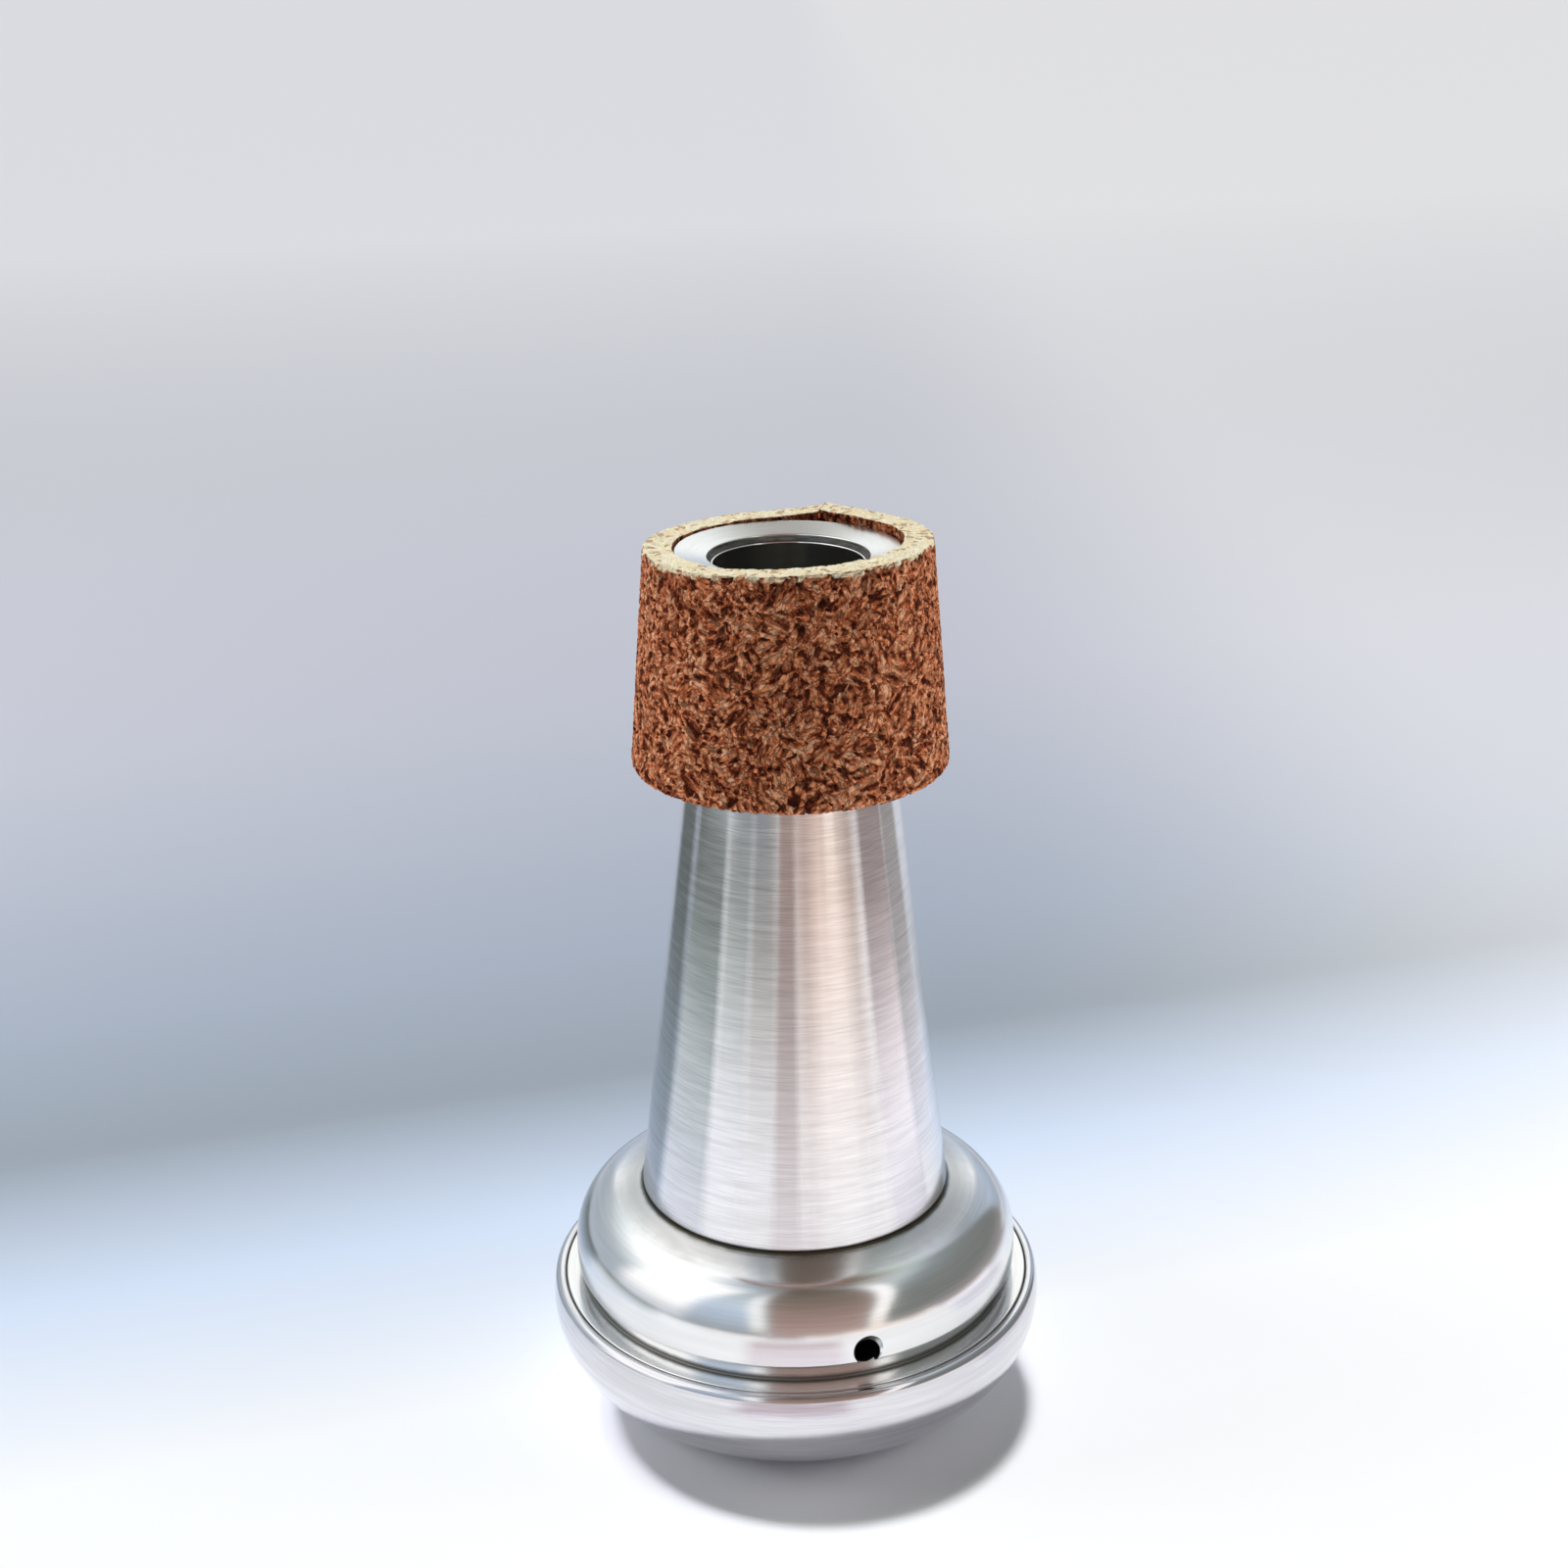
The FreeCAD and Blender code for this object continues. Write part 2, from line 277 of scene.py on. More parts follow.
@dataclass(frozen=True)
class TurnedMetal:
    """Aluminium worked on a lathe, with fine lines that run round the axis.

    A ring of painted shade is its radius, its height, the reach of the shade and the amount. The rings paint
    shade into the creases, grooves and joints where shade falls.
    """

    name: str
    colour: Colour
    roughness: float
    anisotropy: float
    line_pitch: float
    line_reach: float
    line_depth: float
    contrast: float
    smudge: float
    shade_rings: tuple[tuple[float, float, float, float], ...] = ()
    inside: Colour = (0.93, 0.93, 0.88)
    shade_colour: Colour = (0.07, 0.062, 0.04)

    def material(self) -> bpy.types.Material:
        """Builds the node material from fine, broad and stray lines, a cloud and painted shade.

        Returns:
            The material.
        """
        material, bench = new_material(self.name)
        place = bench.place()
        x, y, z = bench.split(place)
        radius = (x * x + y * y) ** 0.5
        ring = bench.vector("NORMALIZE", bench.joined(x, y, 0.0))
        fine, broad, stray = (
            self._lines(bench, ring, z, radius, self.line_pitch * wide, self.line_reach * long)
            for wide, long in ((1.0, 1.0), (4.5, 0.45), (1.4, 2.6))
        )
        cloud = bench.noise(place, 0.09, 3.0)
        marks = stray.step(0.66, 0.74)
        tone = fine * 0.55 + broad * 0.45
        deep = tuple(part * (1 - self.contrast) for part in self.colour)
        bright = tuple(min(1.0, part * (1 + 0.35 * self.contrast)) for part in self.colour)
        colour = bench.blend(tone.step(0.3, 0.7), deep, bright)
        colour = bench.blend(marks * 0.35, colour, bright)
        colour = bench.blend(bench.attribute("inside"), colour, self.inside)
        shade_amount = self._painted_shade(bench, radius, z)
        uneven = self.roughness + (tone - 0.5) * (0.4 * self.contrast) + (cloud - 0.5) * self.smudge
        # Painted shade: the base colour is darkened, and roughened, near each ring of shade.
        sockets = {
            "Base Color": bench.blend(shade_amount, colour, self.shade_colour),
            "Metallic": 1.0,
            "Roughness": uneven + shade_amount * 0.25,
            "Anisotropic": self.anisotropy,
            "Anisotropic Rotation": 0.25,
            "Normal": bench.bump(fine * 0.6 + broad * 0.4 + marks * 0.3, self.line_depth),
        }
        bench.principled(sockets)
        return material

    def _painted_shade(self, bench: Bench, radius: Wire, z: Wire) -> Value:
        """Amount of painted shade, which fades with the distance from each ring of shade.

        Args:
            bench: The bench.
            radius: Distance from the axis.
            z: Height.

        Returns:
            The amount, from 0 to 1.
        """
        total: Value = 0.0
        shade_noise = bench.noise(bench.place(), 0.8, 3.0) * 0.5 + 0.75
        for ring, height, reach, amount in self.shade_rings:
            away = ((radius - ring) * (radius - ring) + (z - height) * (z - height)) ** 0.5
            total = (away * shade_noise).step(reach, reach * 0.2) * amount + total
        return total

    @staticmethod
    def _lines(bench: Bench, ring: Wire, z: Wire, radius: Wire, pitch: float, reach: float) -> Wire:
        """Noise drawn out round the axis, with no seam.

        It is read in four dimensions, at (reach times the direction from the axis plus height
        over pitch, radius over pitch), so that it is fine along the outline.

        Args:
            bench: The bench.
            ring: Unit direction from the axis.
            z: Height.
            radius: Distance from the axis.
            pitch: Width of a line.
            reach: Features per radian round the axis.

        Returns:
            The noise.
        """
        across = bench.scaled(ring, reach)
        spot = bench.vector("ADD", across, bench.joined(0.0, 0.0, z / pitch))
        sockets = {"Vector": spot, "W": radius / pitch, "Scale": 1.0, "Detail": 1.0}
        return bench.out("ShaderNodeTexNoise", 0, {"noise_dimensions": "4D"}, sockets)


@dataclass(frozen=True)
class DullPaste:
    """Joint compound or cement: dull, a little lumpy and uneven in colour."""

    name: str
    colour: Colour
    pale: Colour
    lump: float

    def material(self) -> bpy.types.Material:
        """Builds the node material from two sizes of noise.

        Returns:
            The material.
        """
        material, bench = new_material(self.name)
        place = bench.place()
        patch = bench.noise(place, 0.6, 3.0)
        grain = bench.noise(place, 5.0, 3.0, 0.6)
        colour = bench.blend(patch.step(0.35, 0.75), self.colour, self.pale)
        rough, normal = grain * 0.2 + 0.55, bench.bump(grain, self.lump)
        bench.principled({"Base Color": colour, "Roughness": rough, "Normal": normal})
        return material


@dataclass(frozen=True)
class CorkGrain:
    """Agglomerated cork: long granules that lie every way, with dark flecks between them."""

    name: str
    granule: float = 0.57
    patch: float = 2.2
    stretch: float = 0.7
    relief: float = 0.12
    tones: Stops = (
        (0.06, 0.08, 0.014, 0.005),
        (0.24, 0.3, 0.064, 0.023),
        (0.48, 0.62, 0.175, 0.066),
        (0.72, 0.88, 0.35, 0.165),
        (0.95, 0.96, 0.53, 0.31),
    )
    lit_cut_tones: Stops = ((0.1, 1.0, 0.78, 0.47), (0.35, 1.0, 0.89, 0.6), (0.8, 1.0, 0.95, 0.74))
    dark: Colour = (0.035, 0.006, 0.002)
    cut_gap: Colour = (0.6, 0.34, 0.15)
    cut_fleck: Colour = (0.36, 0.15, 0.05)

    def material(self) -> bpy.types.Material:
        """Builds the node material.

        A coarse set of cells gives each patch a direction d. Coordinates are shortened along
        it, p - stretch (p.d) d, so that fine cells and noise worked out there are long along
        d. Each fine cell is a granule with a tone of its own, and its edge is a dark gap.

        Returns:
            The material.
        """
        material, bench = new_material(self.name)
        place = bench.place()
        sockets = {"Vector": bench.shaken(place, 0.9, 2.0, 1.4), "Scale": 1 / self.patch}
        coarse = bench.out("ShaderNodeTexVoronoi", "Color", None, sockets)
        lie = bench.vector("NORMALIZE", bench.vector("SUBTRACT", coarse, HALF))
        eased = bench.shaken(place, 2.6, 1.0, 0.3)
        drawn = bench.vector("SUBTRACT", eased, bench.scaled(lie, bench.dot(eased, lie) * self.stretch))
        sockets = {"Vector": drawn, "Scale": 1 / self.granule}
        chance, second, third = bench.split(bench.out("ShaderNodeTexVoronoi", "Color", None, sockets))
        edge = bench.out("ShaderNodeTexVoronoi", "Distance", {"feature": "DISTANCE_TO_EDGE"}, sockets)
        gap = edge.step(0.12, 0.03)
        worm = bench.noise(drawn, 1.35, 1.5, 0.55)
        crumb = bench.noise(place, 4.5, 2.0, 0.6)
        shade = bench.noise(place, 0.2, 2.0)

        tone = chance * 0.32 + worm.step(0.36, 0.64) * 0.62
        tone = tone + (crumb - 0.5) * 0.4 + (shade - 0.5) * 0.15 + 0.03
        colour = bench.ramp(tone, self.tones)
        hollow, pit = worm.step(0.43, 0.37) * 0.74, second.step(0.08, 0.05) * 0.7
        for share in (gap * 0.5, hollow, pit, bench.attribute("crevice") * 0.6):
            colour = bench.blend(share, colour, self.dark)
        # The top cut face is paler cut cork, with painted light from above added on top of it.
        face = bench.ramp(chance * 0.7 + (crumb - 0.5) * 0.4 + 0.15, self.lit_cut_tones)
        face = bench.blend(gap * 0.12, face, self.cut_gap)
        face = bench.blend(third.step(0.15, 0.08) * 0.65, face, self.cut_fleck)
        sockets = {
            "Base Color": bench.blend(bench.attribute("cut"), colour, face),
            "Roughness": crumb * 0.25 + 0.6,
            "Specular IOR Level": 0.05,
            "Normal": bench.bump((1 - gap) * 0.6 + chance * 0.4 + crumb * 0.3, self.relief),
        }
        bench.principled(sockets)
        return material


@dataclass(frozen=True)
class PaleFloor:
    """Matt sheet with painted light: palest round the object, and greyer a little behind it.

    Each stop is a distance behind the axis, y - slant x, and the colour there. The ramp
    starts a little ahead of the axis.
    """

    name: str = "pale_floor"
    stops: Stops = (
        (-60.0, 0.95, 0.955, 0.97),
        (0.0, 0.92, 0.94, 0.97),
        (42.0, 0.62, 0.72, 0.88),
        (84.0, 0.3, 0.345, 0.4),
        (130.0, 0.36, 0.41, 0.5),
        (270.0, 0.52, 0.54, 0.62),
        (560.0, 0.64, 0.65, 0.71),
        (1200.0, 0.85, 0.86, 0.9),
    )
    slant: float = 0.3
    ahead: float = 100.0
    right: Colour = (1.0, 0.98, 0.98)
    right_from: float = 20.0
    right_to: float = 160.0
    right_share: float = 0.4

    def material(self) -> bpy.types.Material:
        """Builds the node material.

        It is a ramp on the square root of the distance's share of the whole, so that the near
        stops stand far apart. To the right it blends into a paler colour.

        Returns:
            The material.
        """
        material, bench = new_material(self.name)
        x, y, _ = bench.split(bench.place())
        whole = self.stops[-1][0] + self.ahead
        share = (y - x * self.slant + self.ahead) / whole
        spot = bench.out("ShaderNodeClamp", 0, None, {0: share}) ** 0.5
        stops = [(((behind + self.ahead) / whole) ** 0.5, *tone) for behind, *tone in self.stops]
        # Painted light: palest round the object, greyer behind and more so to the left, paler to the right.
        to_right = x.step(self.right_from, self.right_to) * self.right_share
        tone = bench.blend(to_right, bench.ramp(spot, stops), self.right)
        bench.principled({"Base Color": tone, "Roughness": 0.9, "Specular IOR Level": 0.1})
        return material


# Outlines and meshes


def circle_points(centre: Point, radius: float, first: float, last: float) -> Array:
    """Points on a circle: the centre plus the radius times (cos, sin) of evenly spaced angles.

    Args:
        centre: Radius and height of the centre.
        radius: Radius of the circle.
        first: First angle, counted up from the outward direction.
        last: Last angle.

    Returns:
        Rows of radius and height, about 2 degrees apart.
    """
    count = max(3, int(abs(last - first) / 2.0) + 1)
    turn = np.radians(np.linspace(first, last, count))
    return np.stack([centre[0] + radius * np.cos(turn), centre[1] + radius * np.sin(turn)], 1)


@dataclass
class Outline:
    """Half section of a turned part, with its sharp corners rounded a little.

    It ends where it starts, or else starts and ends on the axis.
    """

    closed: bool = True
    rounding: float = 0.07
    same: float = 1e-5
    corner_share: float = 0.42
    corner_points: int = 6
    longest_plain: float = 0.9
    end_support: float = 0.15
    support_step: float = 4.0

    def __post_init__(self) -> None:
        """Starts with no points."""
        self._rows: list[Array] = []

    def path(self, *corners: Sequence[float]) -> "Outline":
        """Adds corners, each a radius, a height and, where it isn't the usual, a rounding."""
        self._rows.append(np.array([(*corner, self.rounding)[:3] for corner in corners]))
        return self

    def arc(self, centre: Point, radius: float, first: float, last: float) -> "Outline":
        """Adds the round stretch that circle_points gives."""
        self._rows.append(np.pad(circle_points(centre, radius, first, last), ((0, 0), (0, 1))))
        return self

    def points(self) -> Array:
        """The finished outline.

        Repeated points go, corners become arcs, long straight stretches get points near
        their ends, and the whole runs with the material on its left.

        Returns:
            Rows of radius and height.
        """
        rows = np.concatenate(self._rows)
        step = np.linalg.norm(np.diff(rows[:, :2], axis=0), axis=1)
        rows = rows[np.concatenate([[True], step > self.same])]
        if self.closed and np.linalg.norm(rows[0, :2] - rows[-1, :2]) < self.same:
            rows = rows[:-1]
        line = self._supported(self._rounded(rows))
        r, z = line[:, 0], line[:, 1]
        area = np.sum(r * np.roll(z, -1) - np.roll(r, -1) * z)
        return line if area > 0 else line[::-1]

    def _rounded(self, rows: Array) -> Array:
        """Corners turned into arcs that are tangent to both stretches.

        Args:
            rows: Radius, height and rounding of each point.

        Returns:
            Rows of radius and height.
        """
        made: list[Array] = []
        count = len(rows)
        for index, row in enumerate(rows):
            point, rounding = row[:2], row[2]
            made.append(point[None])
            if rounding <= 0 or (not self.closed and index in (0, count - 1)):
                continue
            before, after = rows[index - 1, :2] - point, rows[(index + 1) % count, :2] - point
            lengths = np.linalg.norm(before), np.linalg.norm(after)
            into, away = before / lengths[0], after / lengths[1]
            half = 0.5 * math.acos(float(np.clip(into @ away, -1.0, 1.0)))
            cut = min(self.corner_share * min(lengths), rounding / math.tan(half)) if half < 1.5 else 0.0
            if cut <= self.same:
                continue
            share = np.linspace(0.0, 1.0, self.corner_points)[:, None]
            low, middle, high = (1 - share) ** 2, 2 * math.sin(half) * share * (1 - share), share**2
            start, end = point + into * cut, point + away * cut
            made[-1] = (low * start + middle * point + high * end) / (low + middle + high)
        return np.concatenate(made)

    def _supported(self, line: Array) -> Array:
        """Long stretches divided near their ends and evenly between.

        Args:
            line: Rows of radius and height.

        Returns:
            The divided line.
        """
        ends = np.roll(line, -1, axis=0) if self.closed else line[1:]
        made: list[Array] = []
        for start, end in zip(line, ends):
            length = float(np.linalg.norm(end - start))
            made.append(start[None])
            if length > self.longest_plain:
                count = max(2, int(length / self.support_step) + 1)
                inner = np.linspace(self.end_support, length - self.end_support, count) / length
                made.append(start + inner[:, None] * (end - start))
        if not self.closed:
            made.append(line[-1:])
        return np.concatenate(made)


def even_azimuths(count: int = 256) -> Array:
    """Evenly spaced azimuths of a full turn, in radians."""
    return np.arange(count) * (2 * math.pi / count)


def ring_points(radii: Array, heights: Array, turn: Array) -> Array:
    """Points (r sin a, -r cos a, z), for columns of radii and heights and a row of azimuths."""
    return np.stack([radii * np.sin(turn), -radii * np.cos(turn), heights + 0 * turn], -1)


def between(first: float, last: float, count: int) -> Array:
    """Evenly spaced numbers between two ends, without the ends."""
    return np.linspace(first, last, count + 2)[1:-1]


def grid_faces(rows: int, columns: int, wrap_rows: bool, wrap_columns: bool) -> Array:
    """Quads of a grid of points numbered row by row.

    Args:
        rows: Number of rows.
        columns: Number of columns.
        wrap_rows: Whether the last row joins the first.
        wrap_columns: Whether the last column joins the first.

    Returns:
        One row of four point numbers per quad.
    """
    i = np.arange(rows if wrap_rows else rows - 1)[:, None]
    j = np.arange(columns if wrap_columns else columns - 1)[None]
    i_next, j_next = (i + 1) % rows, (j + 1) % columns
    corners = [i * columns + j, i * columns + j_next, i_next * columns + j_next, i_next * columns + j]
    return np.stack(np.broadcast_arrays(*corners), -1).reshape(-1, 4)


def new_piece(name: str, points: Array, faces: Array, fans: Sequence[Array] = ()) -> bpy.types.Object:
    """Object with a smooth mesh.

    Args:
        name: Name of the piece.
        points: Points in millimetres, in an array of any shape.
        faces: Quads.
        fans: Arrays of other faces, each with one row per face.

    Returns:
        The object, linked to the scene.
    """
    mesh = bpy.data.meshes.new(name)
    loops = np.concatenate([faces.ravel(), *(fan.ravel() for fan in fans)]).astype(np.int32)
    sizes = np.concatenate([np.full(len(group), group.shape[1]) for group in (faces, *fans)])
    mesh.vertices.add(points.size // 3)
    mesh.vertices.foreach_set("co", (points * MM).astype(np.float32).ravel())
    mesh.loops.add(len(loops))
    mesh.loops.foreach_set("vertex_index", loops)
    mesh.polygons.add(len(sizes))
    starts = np.concatenate([[0], np.cumsum(sizes)[:-1]]).astype(np.int32)
    mesh.polygons.foreach_set("loop_start", starts)
    mesh.update(calc_edges=True)
    mesh.validate()
    mesh.shade_smooth()
    made = bpy.data.objects.new(name, mesh)
    bpy.context.scene.collection.objects.link(made)
    return made


def store(mesh: bpy.types.Mesh, name: str, values: Array) -> None:
    """Keeps a number per point on the mesh."""
    mesh.attributes.new(name, "FLOAT", "POINT").data.foreach_set("value", values.astype(np.float32).ravel())


def lathe(name: str, outline: Outline, azimuths: Optional[Array] = None) -> bpy.types.Object:
    """Surface of revolution: the ring_points of an outline. Faces that look inwards are marked.

    Args:
        name: Name of the piece.
        outline: Half section; one that isn't closed has a pole at each end.
        azimuths: Azimuths in radians, or None for the usual even ones.

    Returns:
        The piece.
    """
    turn = even_azimuths() if azimuths is None else azimuths
    line = outline.points()
    columns = len(turn)
    ahead = np.roll(line, -1, 0) - np.roll(line, 1, 0)
    inward = np.clip(-2.0 * ahead[:, 1] / (np.linalg.norm(ahead, axis=1) + 1e-12), 0.0, 1.0)
    ring_line = line if outline.closed else line[1:-1]
    rings = ring_points(ring_line[:, :1], ring_line[:, 1:], turn).reshape(-1, 3)
    faces = grid_faces(len(ring_line), columns, outline.closed, True)
    if outline.closed:
        made = new_piece(name, rings, faces)
        store(made.data, "inside", np.repeat(inward, columns))
        return made
    poles = np.array([[0.0, 0.0, line[0, 1]], [0.0, 0.0, line[-1, 1]]])
    j = np.arange(columns)
    first = np.stack([np.full(columns, len(rings)), (j + 1) % columns, j], 1)
    base = (len(ring_line) - 1) * columns
    last = np.stack([np.full(columns, len(rings) + 1), base + j, base + (j + 1) % columns], 1)
    made = new_piece(name, np.concatenate([rings, poles]), faces, [first, last])
    store(made.data, "inside", np.concatenate([np.repeat(inward[1:-1], columns), [0.0, 0.0]]))
    return made


def dress(piece: bpy.types.Object, material: bpy.types.Material, node: str) -> None:
    """Gives a new piece its material and body, and hides the CAD node that it replaces.

    Args:
        piece: The piece.
        material: Its material.
        node: CAD node that it replaces.
    """
    piece.data.materials.append(material)
    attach(piece, Body.ROOT.value)
    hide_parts(node)
    LOG.info("%s: %d points, for %s", piece.name, len(piece.data.vertices), node)


def dress_node(name: str, material: bpy.types.Material) -> None:
    """Gives a CAD node that stays shown its material.

    Args:
        name: Name of the node.
        material: The material.
    """
    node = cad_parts[name]
    node.data.materials.clear()
    node.data.materials.append(material)
    LOG.info("%s: CAD node kept", name)


# Sub-assemblies


class TurnedPart:
    """Part turned round the axis, whose piece stands for one CAD node."""

    piece: str
    slot: Slot
    node: str

    def outline(self) -> Outline:
        """Half section of the part."""
        raise NotImplementedError

    def shape(self) -> bpy.types.Object:
        """The part's piece before it is dressed."""
        return lathe(self.piece, self.outline())

    def build(self, metal: TurnedMetal) -> None:
        """Builds the piece and dresses it in its metal."""
        dress(self.shape(), metal.material(), self.node)


@dataclass
class BaseCup(TurnedPart):
    """Brushed bowl that the mute stands on."""

    piece, slot, node = "cup_spun_bowl", Slot.CUP, "base_cup"
    corner_radius: float = 10.95
    foot_radius: float = 19.03
    wall: float = 1.2
    rim_lift: float = 2.7
    rim_land_radius: float = 28.55
    rim_round: float = 0.8
    flange_drop: float = 0.8
    seat_width: float = 0.9
    seat_height: float = 1.0
    seat_slope_height: float = 0.8

    @property
    def rim_height(self) -> float:
        """Height of the rim."""
        return self.corner_radius + self.rim_lift

    def _rise_angle(self, radius: float, height: float) -> float:
        """Angle at which an arc about the corner's centre reaches a height."""
        return math.degrees(math.asin((height - self.corner_radius) / radius))

    def outline(self) -> Outline:
        """Half section: flat foot, round corner, turned-in rim, seat and thin wall.

        Returns:
            The outline, from the axis below to the axis above.
        """
        centre = (self.foot_radius, self.corner_radius)
        inner_radius = self.corner_radius - self.wall
        reach = self.corner_radius - self.rim_round
        turn = self._rise_angle(reach, self.rim_height - self.rim_round)
        seat_radius = self.rim_land_radius - self.seat_width
        flange_bottom = self.rim_height - self.flange_drop
        seat_foot = flange_bottom - self.seat_height
        blend = self._rise_angle(inner_radius, seat_foot - self.seat_slope_height)
        made = Outline(closed=False).path((0.0, 0.0))
        made.arc(centre, self.corner_radius, -90.0, turn)
        made.arc(circle_points(centre, reach, turn, turn)[0], self.rim_round, turn, 90.0)
        made.path((self.rim_land_radius, self.rim_height, 0.14), (self.rim_land_radius, flange_bottom))
        made.path((seat_radius, flange_bottom), (seat_radius, seat_foot))
        return made.arc(centre, inner_radius, blend, -90.0).path((0.0, self.wall))


@dataclass
class ShoulderDome(TurnedPart):
    """Polished dome with its cove, groove, flange and vent hole."""

    piece, slot, node = "dome_polished_shell", Slot.DOME, "dome_shell"
    cup: BaseCup
    wall: float = 0.8
    crease_radius: float = 18.6
    radius: float = 26.95
    groove_radius: float = 26.0
    flange_radius: float = 28.4
    flange_thickness: float = 0.8
    shoulder_arc_radius: float = 6.55
    straight_wall_height: float = 2.55
    crown_slope: float = 15.0
    edge_round: float = 0.5
    groove_height: float = 1.95
    cove_radius: float = 0.5
    spigot_length: float = 4.0
    spigot_inner_radius: float = 16.94
    spigot_outer_radius: float = 17.74
    cone_slope: float = 9.4 / 77.08
    vent_radius: float = 1.5
    vent_rise: float = 1.35
    vent_azimuth: float = 17.5
    vent_tilt: float = 12.0
    vent_chamfer: float = 0.3
    vent_columns: int = 72
    drill_depth: float = 4.0
    drill_out: float = 3.0
    fine_span: float = 7.0
    fine_columns: int = 96
    rest_columns: int = 288
    sharp_angle: float = 28.0
    face_least: float = 0.00005

    @property
    def edge_height(self) -> float:
        """Height of the dome's lower edge."""
        return self.cup.rim_height + self.groove_height

    @property
    def arc_centre(self) -> Point:
        """Radius and height of the shoulder arc's centre."""
        return self.radius - self.shoulder_arc_radius, self.edge_height + self.straight_wall_height

    def crown_height(self, radius: float, arc_radius: float) -> float:
        """Height at a radius of the straight crown that leaves a shoulder arc."""
        touch = circle_points(self.arc_centre, arc_radius, 90 - self.crown_slope, 0.0)[0]
        return float(touch[1] + math.tan(math.radians(self.crown_slope)) * (touch[0] - radius))

    @property
    def cone_seat_height(self) -> float:
        """Height of the face under the cone's end."""
        foot = self.crown_height(self.crease_radius + self.cove_radius, self.shoulder_arc_radius)
        return foot + self.cove_radius

    def outline(self) -> Outline:
        """Half section, from the cone's seat outwards and down, and back up inside.

        Returns:
            The closed outline.
        """
        seat, crown = self.cone_seat_height, 90 - self.crown_slope
        inner_arc = self.shoulder_arc_radius - self.wall
        flange_top = self.cup.rim_height
        flange_bottom = flange_top - self.flange_thickness
        edge = self.edge_height
        inside_groove = self.groove_radius - self.wall
        spigot_in, spigot_out = self.spigot_inner_radius, self.spigot_outer_radius
        spigot_top = seat + self.spigot_length
        lean = self.cone_slope * self.spigot_length
        made = Outline().path((spigot_out, seat, 0.03), (self.crease_radius, seat, 0.05))
        made.arc((self.crease_radius + self.cove_radius, seat), self.cove_radius, 180.0, 180.0 + crown)
        made.arc(self.arc_centre, self.shoulder_arc_radius, crown, 0.0)
        edge_centre = (self.radius - self.edge_round, edge + self.edge_round)
        made.arc(edge_centre, self.edge_round, 0.0, -90.0)
        made.path((self.groove_radius, edge, 0.1), (self.groove_radius, flange_top, 0.15))
        made.path((self.flange_radius, flange_top, 0.14), (self.flange_radius, flange_bottom))
        made.path((inside_groove, flange_bottom), (inside_groove, edge))
        made.path((self.radius - self.wall, edge + self.wall))
        made.arc(self.arc_centre, inner_arc, 0.0, crown)
        made.path((spigot_in, self.crown_height(spigot_in, inner_arc)))
        return made.path((spigot_in - lean, spigot_top), (spigot_out - lean, spigot_top))

    def azimuths(self) -> Array:
        """Azimuths of a full turn, in radians, that stand closer together round the vent.

        Returns:
            The azimuths.
        """
        near = np.linspace(-self.fine_span, self.fine_span, self.fine_columns + 1)[:-1]
        rest = np.linspace(self.fine_span, 360 - self.fine_span, self.rest_columns + 1)[:-1]
        return np.radians(np.concatenate([near, rest]) + self.vent_azimuth)

    def _vent_tool(self) -> bpy.types.Object:
        """Drill and countersink, a turned solid laid along the vent's direction.

        A point (x, y, t) of the turned solid goes to the place on the wall plus x times the
        sideways direction, y times the one square to both, and t times the outward one.

        Returns:
            The cutter.
        """
        bore, deep, out = self.vent_radius, self.drill_depth, self.drill_out
        mouth = bore + self.vent_chamfer + out
        outline = Outline(closed=False, rounding=0.0).path((0.0, -deep), (bore, -deep))
        outline.path((bore, -self.vent_chamfer, 0.08), (mouth, out), (0.0, out))
        tool = lathe("vent_cutter", outline, even_azimuths(self.vent_columns))
        turn, tilt = math.radians(self.vent_azimuth), math.radians(self.vent_tilt)
        flat = np.array([math.sin(turn), -math.cos(turn), 0.0])
        outward = math.cos(tilt) * flat + [0.0, 0.0, math.sin(tilt)]
        side = np.array([math.cos(turn), math.sin(turn), 0.0])
        basis = np.stack([side, np.cross(outward, side), outward])
        spot = (self.radius * flat + [0.0, 0.0, self.edge_height + self.vent_rise]) * MM
        points = np.empty(len(tool.data.vertices) * 3, np.float32)
        tool.data.vertices.foreach_get("co", points)
        placed = points.reshape(-1, 3) @ basis + spot
        tool.data.vertices.foreach_set("co", placed.astype(np.float32).ravel())
        return tool

    def shape(self) -> bpy.types.Object:
        """The dome with its vent cut and its zero-area faces taken out.

        Returns:
            The piece.
        """
        blank = lathe(self.piece, self.outline(), self.azimuths())
        tool = self._vent_tool()
        cut = blank.modifiers.new("vent", "BOOLEAN")
        cut.operation, cut.solver, cut.object = "DIFFERENCE", "EXACT", tool
        drilled = blank.evaluated_get(bpy.context.evaluated_depsgraph_get())
        ready = bpy.data.meshes.new_from_object(drilled)
        blank.modifiers.clear()
        blank.data = ready
        bpy.data.objects.remove(tool)
        solid = bmesh.new()
        solid.from_mesh(ready)
        bmesh.ops.dissolve_degenerate(solid, dist=self.face_least * MM, edges=solid.edges)
        solid.to_mesh(ready)
        solid.free()
        ready.shade_smooth()
        ready.set_sharp_from_angle(angle=math.radians(self.sharp_angle))
        return blank


